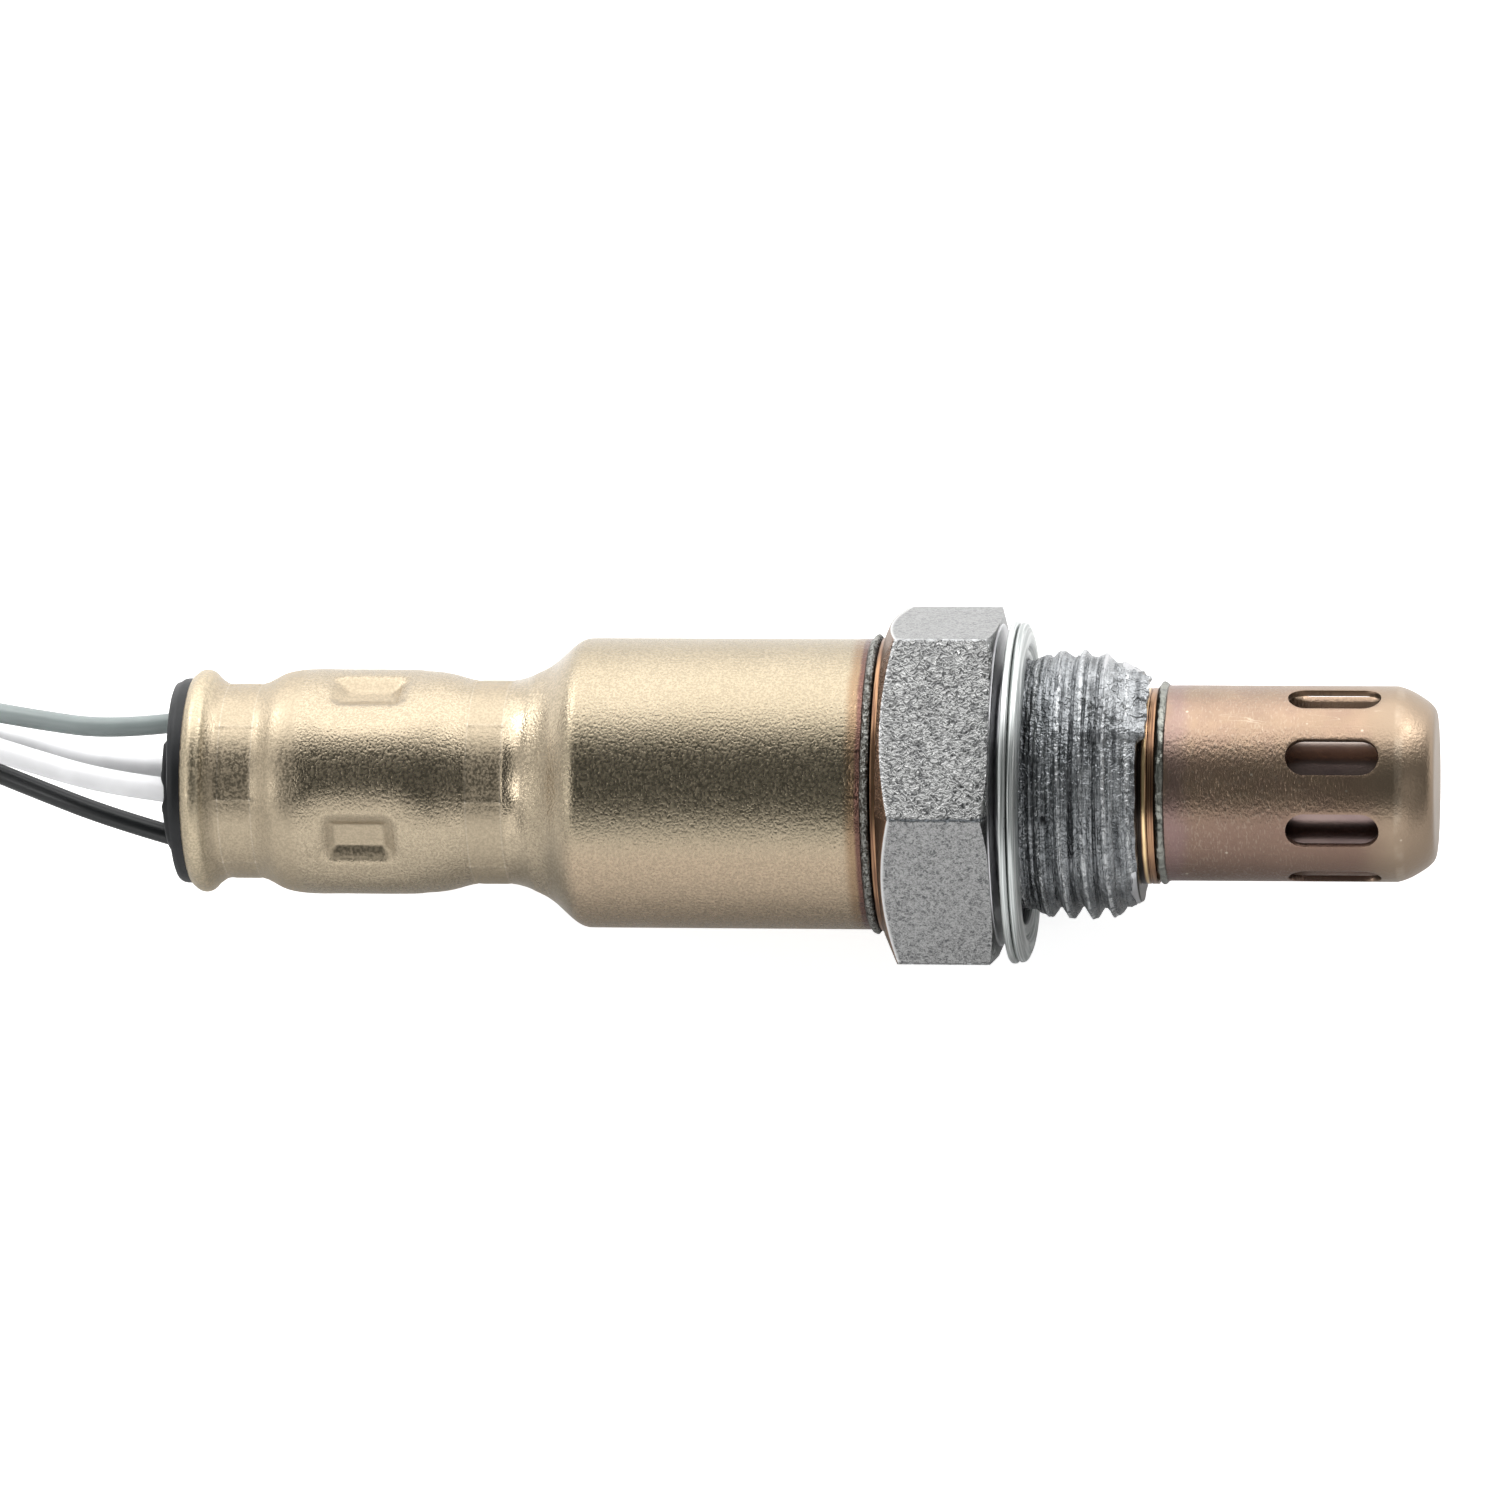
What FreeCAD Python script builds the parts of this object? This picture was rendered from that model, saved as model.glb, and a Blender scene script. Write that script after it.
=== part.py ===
import FreeCAD, Part
import math
import os

# Heated four-lead oxygen sensor with an M18 x 1.5 thread, lying on a flat of its hexagon.
# Millimetres. The sensor's axis is X, with the sensing tip towards +X and the leads towards -X.
# The origin is on that axis, in the plane of the seat that the gasket is squeezed against.
# Angles about the axis are counted from +Z towards +Y.

# Hexagon and shell
hex_across_flats = 22.0
hex_length = 7.65
hex_chamfer_depth_rear = 1.75
hex_chamfer_rise_rear = 0.48
hex_chamfer_depth_front = 1.25
hex_chamfer_rise_front = 0.32
hex_core_inset = 1.0
seat_radius = 10.8
seat_height = 0.15
seat_sink = 0.5
boss_chamfer_length = 0.5
boss_chamfer_depth = 0.3
weld_ring_radius = 9.8
weld_ring_length = 0.35
neck_radius = 7.7
neck_length = 2.7
thread_radius = 9.0
thread_end = 9.4
thread_chamfer_length = 1.6
thread_chamfer_depth = 1.1
thread_lead_in = 0.5
nose_collar_radius = 6.55
nose_collar_length = 0.95
spigot_length = 1.1
spigot_wall = 0.83

# Bore of the shell
chamber_radius = 6.2
seat_cone_start = -3.0
front_bore_radius = 4.4
nose_socket_depth = 2.6
shell_lip_thickness = 1.0
shell_lip_radius = 5.1

# Crush gasket
gasket_inner_radius = 8.8
gasket_width = 2.65
gasket_thickness = 1.5
gasket_sheet = 0.5
gasket_fold_gap = 0.08
gasket_fold_depth = 0.8
gasket_edge_round = 0.2
gasket_seat_gap = 0.46
gasket_drop_angle = -60.0

# Rear cover, drawn from sheet
cover_wall = 0.5
can_radius = 9.73
can_rear = -27.6
rim_radius = 7.49
rim_length = 2.18
rim_peak_share = 0.36
rim_mouth_radius = 6.6
rim_foot_length = 0.3
rim_foot_step = 0.05
rim_foot_height = 0.16
neck_one_radius = 6.56
neck_one_start = -52.3
neck_one_end = -50.1
barrel_radius = 7.54
barrel_start = -47.7
barrel_end = -38.9
neck_two_radius = 6.85
neck_two_start = -35.5
neck_two_end = -33.1
flare_mid = -30.4
flare_mid_radius = 8.05
flare_run = 0.75
flare_rise = 0.97
shoulder_length = 0.75
shoulder_drop = 0.12
barrel_lead_in = 0.3
barrel_droop = 0.04

# Share of each drawn step, along and across it, where its curve passes
shoulder_middle = (0.55, 0.49)
waist_middle = (0.5, 0.34)
flare_foot_middle = (0.63, 0.3)
flare_top_middle = (0.36, 0.61)
bead_length = 0.75
bead_height = 0.3

# Dimples staked into the barrel of the rear cover
dimple_count = 4
dimple_centre = -42.6
dimple_angle = -49.8
dimple_floor_length = 3.2
dimple_floor_width = 2.04
dimple_mouth_length = 4.9
dimple_mouth_width = 3.7
dimple_floor_radius = 6.7

# Protection tubes
shield_wall = 0.4
shield_radius = 6.53
shield_bend = 26.3
shield_nose_length = 2.9
shield_nose_radius = 3.6
shield_nose_middle = (0.72, 0.36)
shield_bead_length = 0.75
shield_bead_height = 0.23
slot_count = 8
slot_width = 2.5
slot_length = 6.2
slot_centre = 22.3
slot_angle = -3.4
inner_shield_wall = 0.3
inner_shield_cup_length = 2.9
inner_shield_radius = 4.6
inner_shield_end = 26.6
inner_shield_round = 1.2
inner_hole_count = 6
inner_hole_diameter = 1.8
inner_hole_centre = 14.6
inner_end_hole_diameter = 2.0

# Sensing thimble, heater and seals
thimble_shoulder_radius = 5.9
thimble_shoulder_start = -8.0
thimble_stub_radius = 4.0
thimble_rear = -21.0
thimble_stem_radius = 3.4
thimble_tip_radius = 2.7
thimble_tip = 25.2
thimble_bore_radius = 1.75
thimble_tip_wall = 1.0
heater_radius = 1.5
heater_front = 22.9
heater_rear = -34.0
washer_thickness = 0.35
talc_length = 4.0
seal_insulator_length = 4.5
crimp_ring_section = 1.2

# Contacts, terminals and the insulator that holds them
contact_sheet = 0.2
contact_strip_width = 1.2
contact_slit_width = 1.4
strip_overlap = 1.0
strip_lead_in = 0.5
inner_contact_front = -9.0
contact_sleeve_rear = -23.0
outer_contact_front = -19.2
heater_contact_front = -24.5
strip_rise_start = -27.0
insulator_front = -31.0
insulator_rear = -46.5
insulator_chamfer = 0.5
heater_pocket_depth = 5.0
heater_pocket_clearance = 0.25
barrel_crimp_radius = 1.0
barrel_crimp_length = 6.0
barrel_crimp_clearance = 0.1
lead_inner_end = -43.0

# Grommet and leads
grommet_face = -56.4
grommet_boss_height = 0.45
grommet_boss_radius = 4.9
grommet_flange_radius = 6.9
grommet_flange_round = 0.6
grommet_front = -48.6
grommet_hole_flare = 0.4
lead_circle_radius = 4.0
signal_lead_diameter = 1.35
heater_lead_diameter = 1.65
lead_angle = {"gray": 60.6, "white_a": 150.6, "black": -119.4, "white_b": -29.4}

# Harness
sleeve_diameter = 5.0
collar_wall = 0.8
collar_over_leads = 4.0
collar_over_sleeve = 6.0
tie_thickness = 0.9
tie_width = 3.6
tie_head_length = 5.2
tie_head_breadth = 4.6
tie_head_height = 3.4
tie_clearance = 0.15

# Connector
connector_rear_x = -169.0
boot_rear_radius = 3.6
boot_rib_radius = 4.6
boot_rib_width = 1.2
boot_rib_pitch = 2.2
boot_rib_count = 2
boot_free_length = 7.0
boot_plug_radius = 5.2
boot_plug_length = 6.0
housing_length = 34.0
housing_rear_length = 13.0
housing_width = 19.0
housing_height = 14.0
housing_rear_width = 16.0
housing_rear_height = 12.4
housing_corner = 2.6
shroud_wall = 1.8
shroud_depth = 18.0
cavity_corner = 1.4
latch_width = 6.0
latch_height = 2.2
latch_length = 9.0
latch_setback = 4.0
latch_ramp = 2.6
latch_foot = 0.4
latch_step = 0.3
side_rib_height = 0.7
side_rib_width = 1.6
pin_width = 2.2
pin_thickness = 0.8
pin_length = 10.0
pin_taper = 0.25
pin_pitch_y = 7.0
pin_pitch_z = 4.6
seal_wall = 1.1
seal_length = 3.0
seal_inner_corner = 1.0

# Routes of the soft parts, chosen by hand.
# The middle of the four leads, the radius that they spread to there, and the sleeve behind them.
sleeve_rest_z = -7.4
sleeve_cross_z = -2.0
bundle_route = [(-60.4, 0.41, -0.10), (-66.0, 2.13, -0.90), (-75.5, 5.99, -4.40)]
bundle_spread = [3.05, 2.39, 1.41]
mouth = (-94.0, 12.5, sleeve_rest_z)
mouth_spread = 1.18
last_lead_run = 9.0
sleeve_route = [mouth, (-104.0, 15.37, sleeve_rest_z), (-120.0, 23.8, sleeve_rest_z),
                (-146.0, 24.9, sleeve_rest_z), (-178.0, 24.0, sleeve_rest_z), (-215.65, 24.7, sleeve_rest_z),
                (-225.3, 8.0, sleeve_rest_z), (-215.65, -8.7, sleeve_rest_z), (-184.0, -7.4, sleeve_rest_z),
                (-152.0, -9.2, -7.2), (-118.35, -8.7, -5.4), (-108.7, 8.0, sleeve_cross_z),
                (-118.35, 24.7, sleeve_cross_z), (-139.0, 24.0, sleeve_cross_z), (-153.0, 8.0, -4.0),
                (connector_rear_x, 8.0, -4.0)]
tie_x = -130.0
tie_y = 24.26
arc_share = 0.45

# Sizes that follow from those above
floor_z = -hex_across_flats / 2
hex_rear = -hex_length
hex_corner_radius = hex_across_flats / math.sqrt(3)
boss_radius = can_radius - cover_wall
seal_rear = thimble_shoulder_start - talc_length - seal_insulator_length
boss_rear = seal_rear - crimp_ring_section - shell_lip_thickness
cover_front = hex_rear - weld_ring_length
spigot_radius = shield_radius - shield_wall
collar_end = thread_end + nose_collar_length
nose_end = collar_end + spigot_length
shield_nose_end = shield_bend + shield_nose_length
nose_socket_start = nose_end - nose_socket_depth
seat_cone_end = seat_cone_start + chamber_radius - front_bore_radius
socket_radius = spigot_radius - spigot_wall
dimple_inner_radius = dimple_floor_radius - cover_wall
insulator_radius = dimple_inner_radius
lead_radius = {"gray": signal_lead_diameter / 2, "black": signal_lead_diameter / 2,
               "white_a": heater_lead_diameter / 2, "white_b": heater_lead_diameter / 2}
grommet_flange_face = grommet_face + grommet_boss_height
rim_rear = neck_one_start - rim_foot_length - rim_length
sleeve_radius = sleeve_diameter / 2
housing_rear = connector_rear_x - boot_free_length
housing_front = housing_rear - housing_length
shroud_floor = housing_front + shroud_depth
connector_y = sleeve_route[-1][1]
connector_z = floor_z + housing_height / 2


def vec(point):
    return FreeCAD.Vector(*point)


def outline(steps):
    """Face in the X-radius plane. A step is an (x, r) point, or a pair of them for an arc."""
    start = (steps[0][0], steps[0][1], 0)
    here = start
    edges = []
    for step in steps[1:]:
        if isinstance(step[0], tuple):
            via, end = [(p[0], p[1], 0) for p in step]
            edges.append(Part.Arc(vec(here), vec(via), vec(end)).toShape())
        else:
            end = (step[0], step[1], 0)
            edges.append(Part.LineSegment(vec(here), vec(end)).toShape())
        here = end
    if math.dist(here, start) > 1e-6:
        edges.append(Part.LineSegment(vec(here), vec(start)).toShape())
    return Part.Face(Part.Wire(edges))


def turned(steps):
    """Solid of revolution about the sensor's axis."""
    return outline(steps).revolve(vec((0, 0, 0)), vec((1, 0, 0)), 360)


def pressed(steps, wall):
    """Revolved sheet of even wall, given the line that its outer surface follows."""
    here = (steps[0][0], steps[0][1], 0)
    edges = []
    for step in steps[1:]:
        if isinstance(step[0], tuple):
            via, end = [(p[0], p[1], 0) for p in step]
            edges.append(Part.Arc(vec(here), vec(via), vec(end)).toShape())
        else:
            end = (step[0], step[1], 0)
            edges.append(Part.LineSegment(vec(here), vec(end)).toShape())
        here = end
    section = Part.Wire(edges).makeOffset2D(wall, 2, True, True)
    return section.revolve(vec((0, 0, 0)), vec((1, 0, 0)), 360).Solids[0]


def rod(radius, x_start, x_end, y=0.0, z=0.0):
    """Round bar along X."""
    return Part.makeCylinder(radius, abs(x_end - x_start), vec((min(x_start, x_end), y, z)), vec((1, 0, 0)))


def ring(inner, outer, x_start, x_end):
    """Flat-ended ring on the sensor's axis."""
    return rod(outer, x_start, x_end).cut(rod(inner, x_start, x_end))


def about_axis(shape, degrees):
    """Copy turned about the sensor's axis, from +Z towards +Y."""
    copy = shape.copy()
    copy.rotate(vec((0, 0, 0)), vec((1, 0, 0)), -degrees)
    return copy


def on_circle(radius, degrees):
    """Y and Z of a point at a radius and angle about the axis."""
    turn = math.radians(degrees)
    return radius * math.sin(turn), radius * math.cos(turn)


def rounded_block(x_start, x_end, width, height, corner, y, z):
    """Block along X with its four long edges rounded."""
    block = Part.makeBox(abs(x_end - x_start), width, height,
                         vec((min(x_start, x_end), y - width / 2, z - height / 2)))
    long_edges = [e for e in block.Edges if abs(e.tangentAt(e.FirstParameter).x) > 0.9]
    return block.makeFillet(corner, long_edges)


def cord_path(points):
    """Wire of straight runs joined by tangent arcs, with the arcs' radii."""
    here = vec(points[0])
    edges = []
    radii = []
    for before, corner, after in zip(points, points[1:], points[2:]):
        corner = vec(corner)
        back = vec(before).sub(corner)
        ahead = vec(after).sub(corner)
        reach = arc_share * min(back.Length, ahead.Length)
        back.normalize()
        ahead.normalize()
        half_turn = (math.pi - back.getAngle(ahead)) / 2
        radius = reach / math.tan(half_turn)
        first = corner + back * reach
        last = corner + ahead * reach
        inward = (back + ahead).normalize()
        middle = corner + inward * (radius / math.cos(half_turn) - radius)
        edges.append(Part.LineSegment(here, first).toShape())
        edges.append(Part.Arc(first, middle, last).toShape())
        radii.append(radius)
        here = last
    edges.append(Part.LineSegment(here, vec(points[-1])).toShape())
    return Part.Wire(edges), radii


def cord_tube(name, points, radius):
    """Round tube along a cord's path, reported with its radii, length and volume."""
    path, radii = cord_path(points)
    start = vec(points[0])
    heading = vec(points[1]).sub(start)
    end_face = Part.Wire(Part.makeCircle(radius, start, heading))
    tube = path.makePipeShell([end_face], True, False)
    share = tube.Volume / (math.pi * radius ** 2 * path.Length)
    print(name, "length", round(path.Length, 1), "volume share", round(share, 4),
          "radii", [round(r, 1) for r in radii])
    return tube


def make_shell():
    """Hexagon, gasket seat, neck, thread and nose, with the stepped bore that holds the thimble."""
    flat = hex_across_flats / 2
    prism_side = hex_corner_radius
    corners = [(hex_rear, prism_side * math.sin(math.radians(60 * k + 30)),
                prism_side * math.cos(math.radians(60 * k + 30))) for k in range(7)]
    prism = Part.Face(Part.makePolygon([vec(c) for c in corners])).extrude(vec((hex_length, 0, 0)))
    face_front = -seat_height
    blank = turned([(hex_rear, 0), (hex_rear, prism_side - hex_chamfer_depth_rear),
                    (hex_rear + 2 * hex_chamfer_rise_rear, prism_side + hex_chamfer_depth_rear),
                    (face_front - 2 * hex_chamfer_rise_front, prism_side + hex_chamfer_depth_front),
                    (face_front, prism_side - hex_chamfer_depth_front), (face_front, 0)])
    core = flat - hex_core_inset
    hexagon = prism.common(blank)
    chamfer_start = thread_end - thread_chamfer_length
    barrel = turned([(boss_rear, 0), (boss_rear, boss_radius - boss_chamfer_depth),
                     (boss_rear + boss_chamfer_length, boss_radius), (cover_front, boss_radius),
                     (cover_front, weld_ring_radius), (hex_rear, weld_ring_radius),
                     (hex_rear + hex_core_inset, core), (face_front - seat_sink, core),
                     (face_front - seat_sink, seat_radius), (0, seat_radius), (0, neck_radius),
                     (neck_length - thread_lead_in, neck_radius),
                     (neck_length + thread_radius - neck_radius - thread_lead_in, thread_radius),
                     (chamfer_start, thread_radius), (thread_end, thread_radius - thread_chamfer_depth),
                     (thread_end, nose_collar_radius), (collar_end, nose_collar_radius),
                     (collar_end, spigot_radius), (nose_end, spigot_radius), (nose_end, 0)])
    bore = turned([(boss_rear - 1, 0), (boss_rear - 1, shell_lip_radius),
                   (boss_rear + shell_lip_thickness, shell_lip_radius),
                   (boss_rear + shell_lip_thickness, chamber_radius), (seat_cone_start, chamber_radius),
                   (seat_cone_end, front_bore_radius), (nose_socket_start, front_bore_radius),
                   (nose_socket_start, socket_radius), (nose_end + 1, socket_radius), (nose_end + 1, 0)])
    return hexagon.fuse(barrel).cut(bore).removeSplitter()


def make_gasket():
    """Ring folded from sheet: a rear flange, a closed groove and a rolled front. It hangs on the neck."""
    rim = gasket_inner_radius + gasket_width
    front = gasket_thickness
    roll = gasket_sheet + gasket_fold_gap
    groove = rim - gasket_fold_depth
    edge = rim - gasket_edge_round
    ring_solid = turned([(0, gasket_inner_radius), (0, edge), ((gasket_sheet / 2, rim), (gasket_sheet, edge)),
                         (gasket_sheet, groove), (roll, groove), (roll, edge),
                         ((roll + 0.6 * (front - roll), rim - 0.12 * gasket_width),
                          (front, rim - 0.42 * gasket_width)),
                         (0.8 * front, rim - 0.67 * gasket_width),
                         ((0.83 * front, gasket_inner_radius + 0.12 * gasket_width),
                          (0.67 * front, gasket_inner_radius))])
    y, z = on_circle(gasket_inner_radius - neck_radius, gasket_drop_angle)
    ring_solid.translate(vec((gasket_seat_gap, y, z)))
    return ring_solid


def step_arc(start, end, middle):
    """Arc between two (x, r) points, given the shares of the step where it passes."""
    along, across = middle
    via = (start[0] + (end[0] - start[0]) * along, start[1] + (end[1] - start[1]) * across)
    return via, end


def cover_line():
    """Outer line of the rear cover from its rolled rim to the weld at the hexagon."""
    rim_peak = (rim_rear + rim_length * rim_peak_share, rim_radius)
    rim_foot = (neck_one_start - rim_foot_length + rim_foot_step, neck_one_radius + rim_foot_height)
    barrel_shoulder = (barrel_start - shoulder_length, barrel_radius - shoulder_drop)
    barrel_front = (barrel_end, barrel_radius - barrel_droop)
    flare_foot = (flare_mid, flare_mid_radius)
    flare_top = (flare_mid + flare_run, flare_mid_radius + flare_rise)
    return [(rim_rear, rim_mouth_radius), (rim_peak, rim_foot),
            (neck_one_start, neck_one_radius), (neck_one_end, neck_one_radius),
            step_arc((neck_one_end, neck_one_radius), barrel_shoulder, shoulder_middle),
            (barrel_start + barrel_lead_in, barrel_radius), barrel_front,
            step_arc(barrel_front, (neck_two_start, neck_two_radius), waist_middle),
            (neck_two_end, neck_two_radius),
            step_arc((neck_two_end, neck_two_radius), flare_foot, flare_foot_middle), flare_top,
            step_arc(flare_top, (can_rear, can_radius), flare_top_middle), (cover_front, can_radius)]


def dimple_block(floor_radius, grow):
    """Wedge-sided block that widens outward from a dimple's floor."""
    def rectangle(z, length, width):
        x = dimple_centre
        points = [(x - length / 2, -width / 2, z), (x + length / 2, -width / 2, z),
                  (x + length / 2, width / 2, z), (x - length / 2, width / 2, z),
                  (x - length / 2, -width / 2, z)]
        return Part.makePolygon([vec(p) for p in points])
    depth = barrel_radius - dimple_floor_radius
    slope_x = (dimple_mouth_length - dimple_floor_length) / depth
    slope_y = (dimple_mouth_width - dimple_floor_width) / depth
    top = barrel_radius + 1.0
    rise = top - floor_radius
    return Part.makeLoft([rectangle(floor_radius, dimple_floor_length + grow, dimple_floor_width + grow),
                          rectangle(top, dimple_floor_length + grow + slope_x * rise,
                                    dimple_floor_width + grow + slope_y * rise)], True, True)


def make_rear_cover():
    """Drawn can with its rolled rim, necks, staked dimples and weld bead."""
    line = cover_line()
    cover = pressed(line, cover_wall)
    bead_start = cover_front - bead_length
    bead = turned([(bead_start, boss_radius + 0.1), (bead_start, can_radius),
                   ((cover_front - bead_length / 2, can_radius + bead_height), (cover_front, can_radius)),
                   (cover_front, boss_radius + 0.1)])
    core = turned([(line[0][0], 0)] + line + [(cover_front, 0)])
    cover = cover.fuse(bead.cut(rod(boss_radius, bead_start, cover_front)))
    for k in range(dimple_count):
        turn = dimple_angle + 360 / dimple_count * k
        backing = about_axis(dimple_block(dimple_inner_radius, cover_wall), turn)
        pocket = about_axis(dimple_block(dimple_floor_radius, 0), turn)
        cover = cover.fuse(backing.common(core)).cut(pocket)
    return cover.removeSplitter()


def make_grommet():
    """Rubber plug in the mouth of the cover, with a flange, a raised face and four holes."""
    body = neck_one_radius - cover_wall
    edge = grommet_flange_radius - grommet_flange_round
    lip = grommet_flange_round * 0.3
    plug = turned([(grommet_face, 0), (grommet_face, grommet_boss_radius),
                   (grommet_flange_face, grommet_boss_radius), (grommet_flange_face, edge),
                   ((grommet_flange_face + lip, grommet_flange_radius - lip),
                    (grommet_flange_face + grommet_flange_round, grommet_flange_radius)),
                   (rim_rear, grommet_flange_radius), (rim_rear, body),
                   (grommet_front, body), (grommet_front, 0)])
    for name, turn in lead_angle.items():
        y, z = on_circle(lead_circle_radius, turn)
        plug = plug.cut(rod(lead_radius[name], grommet_face, grommet_front, y, z))
        flare = Part.makeCone(lead_radius[name] + grommet_hole_flare, lead_radius[name], grommet_hole_flare,
                              vec((grommet_face, y, z)), vec((1, 0, 0)))
        plug = plug.cut(flare)
    return plug


def make_outer_shield():
    """Protection tube with eight slots, a rounded nose and a weld bead at its root."""
    nose_rim = (shield_nose_end, shield_nose_radius)
    nose_middle = step_arc((shield_bend, shield_radius), nose_rim, shield_nose_middle)[0]
    outside = [(collar_end, 0), (collar_end, shield_radius), (shield_bend, shield_radius),
               (nose_middle, nose_rim), (shield_nose_end, 0)]
    inner_rim = (shield_nose_end - shield_wall, shield_nose_radius - shield_wall * 0.2)
    inner_middle = (nose_middle[0] - shield_wall * 0.66, nose_middle[1] - shield_wall * 0.76)
    inside = [(collar_end, 0), (collar_end, spigot_radius), (shield_bend, spigot_radius),
              (inner_middle, inner_rim), (shield_nose_end - shield_wall, 0)]
    bead = turned([(collar_end, spigot_radius), (collar_end, shield_radius),
                   ((collar_end + shield_bead_length / 2, shield_radius + shield_bead_height),
                    (collar_end + shield_bead_length, shield_radius)),
                   (collar_end + shield_bead_length, spigot_radius)])
    tube = turned(outside).cut(turned(inside)).fuse(bead.cut(rod(spigot_radius, collar_end, shield_bend)))
    half = (slot_length - slot_width) / 2
    slot = Part.makeBox(2 * half, slot_width, shield_radius + 1,
                        vec((slot_centre - half, -slot_width / 2, 1)))
    for end in (-half, half):
        slot = slot.fuse(Part.makeCylinder(slot_width / 2, shield_radius + 1, vec((slot_centre + end, 0, 1))))
    for k in range(slot_count):
        tube = tube.cut(about_axis(slot, slot_angle + 360 / slot_count * k))
    return tube.removeSplitter()


def make_inner_shield():
    """Inner tube pressed into the nose, with a ring of round holes and a hole in its end."""
    cup_end = nose_socket_start + inner_shield_cup_length
    throat = cup_end + socket_radius - inner_shield_radius
    corner = inner_shield_round * (1 - math.sqrt(0.5))
    tube = pressed([(nose_socket_start, socket_radius), (cup_end, socket_radius),
                    (throat, inner_shield_radius),
                    (inner_shield_end - inner_shield_round, inner_shield_radius),
                    ((inner_shield_end - corner, inner_shield_radius - corner),
                     (inner_shield_end, inner_shield_radius - inner_shield_round)),
                    (inner_shield_end, inner_end_hole_diameter / 2)], inner_shield_wall)
    hole = Part.makeCylinder(inner_hole_diameter / 2, inner_shield_radius + 1, vec((inner_hole_centre, 0, 1)))
    for k in range(inner_hole_count):
        tube = tube.cut(about_axis(hole, 360 / inner_hole_count * k))
    return tube


def make_sensing_thimble():
    """Zirconia thimble: closed tip, tapered stem, seat cone, shoulder and rear stub."""
    cone_offset = seat_cone_start + chamber_radius - washer_thickness
    tip_start = thimble_tip - thimble_tip_radius
    bore_end = thimble_tip - thimble_tip_wall
    round_share = math.sqrt(0.5)
    tip_middle = (tip_start + thimble_tip_radius * round_share, thimble_tip_radius * round_share)
    bore_middle = (bore_end - thimble_bore_radius * (1 - round_share), thimble_bore_radius * round_share)
    return turned([(thimble_rear, thimble_bore_radius), (thimble_rear, thimble_stub_radius),
                   (thimble_shoulder_start, thimble_stub_radius),
                   (thimble_shoulder_start, thimble_shoulder_radius),
                   (cone_offset - thimble_shoulder_radius, thimble_shoulder_radius),
                   (cone_offset - thimble_stem_radius, thimble_stem_radius),
                   (tip_start, thimble_tip_radius), (tip_middle, (thimble_tip, 0)), (bore_end, 0),
                   (bore_middle, (bore_end - thimble_bore_radius, thimble_bore_radius))])


def make_packing_washer():
    """Thin cone of soft metal between the thimble's seat and the shell's."""
    cone = seat_cone_start + chamber_radius
    outer = thimble_shoulder_radius
    inner = front_bore_radius + 0.1
    return turned([(cone - washer_thickness - outer, outer), (cone - outer, outer), (cone - inner, inner),
                   (cone - washer_thickness - inner, inner)])


def make_crimp_ring():
    """Round wire ring that the shell's lip presses against the seal insulator."""
    section = crimp_ring_section / 2
    return Part.makeTorus(chamber_radius - section, section, vec((seal_rear - section, 0, 0)), vec((1, 0, 0)))


def contact_strip(points, turn):
    """Flat strip bent along (x, radius) points and turned to a lead's angle."""
    side = contact_strip_width / 2
    lower = [(x, -side, r) for x, r in points]
    upper = [(x, -side, r + contact_sheet) for x, r in reversed(points)]
    section = Part.Face(Part.makePolygon([vec(p) for p in lower + upper + lower[:1]]))
    return about_axis(section.extrude(vec((0, contact_strip_width, 0))), turn)


def spring_sleeve(inner, front, turn):
    """Slit tube of contact sheet that grips a round stub, open opposite its strip."""
    tube = ring(inner, inner + contact_sheet, contact_sleeve_rear, front)
    slit = Part.makeBox(front - contact_sleeve_rear, contact_slit_width, inner + 1,
                        vec((contact_sleeve_rear, -contact_slit_width / 2, -inner - 1)))
    return tube.cut(about_axis(slit, turn))


def strip_end(start_x, start_radius):
    """Bend points of a strip from its contact to the lead circle and on to its crimp."""
    crimp_front = lead_inner_end + barrel_crimp_length
    return [(start_x, start_radius), (strip_rise_start, start_radius),
            (insulator_front + strip_lead_in, lead_circle_radius), (crimp_front, lead_circle_radius)]


def make_inner_contact():
    """Spring sleeve between heater and thimble bore, with the strip to the gray lead."""
    inner = thimble_bore_radius - contact_sheet
    sleeve = spring_sleeve(inner, inner_contact_front, lead_angle["gray"])
    strip = strip_end(contact_sleeve_rear + strip_overlap, inner)
    return sleeve.fuse(contact_strip(strip, lead_angle["gray"]))


def make_outer_contact():
    """Spring sleeve round the thimble's stub, with the strip to the black lead."""
    sleeve = spring_sleeve(thimble_stub_radius, outer_contact_front, lead_angle["black"])
    strip = strip_end(contact_sleeve_rear + strip_overlap / 2, thimble_stub_radius)
    return sleeve.fuse(contact_strip(strip, lead_angle["black"]))


def make_heater_contacts():
    """Two strips from the heater's pads to the white leads."""
    return [contact_strip(strip_end(heater_contact_front, heater_radius), lead_angle[name])
            for name in ("white_a", "white_b")]


def make_crimp_barrels():
    """Crimped ends of the four leads."""
    barrels = []
    for turn in lead_angle.values():
        y, z = on_circle(lead_circle_radius, turn)
        barrels.append(rod(barrel_crimp_radius, lead_inner_end, lead_inner_end + barrel_crimp_length, y, z))
    return barrels


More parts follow.
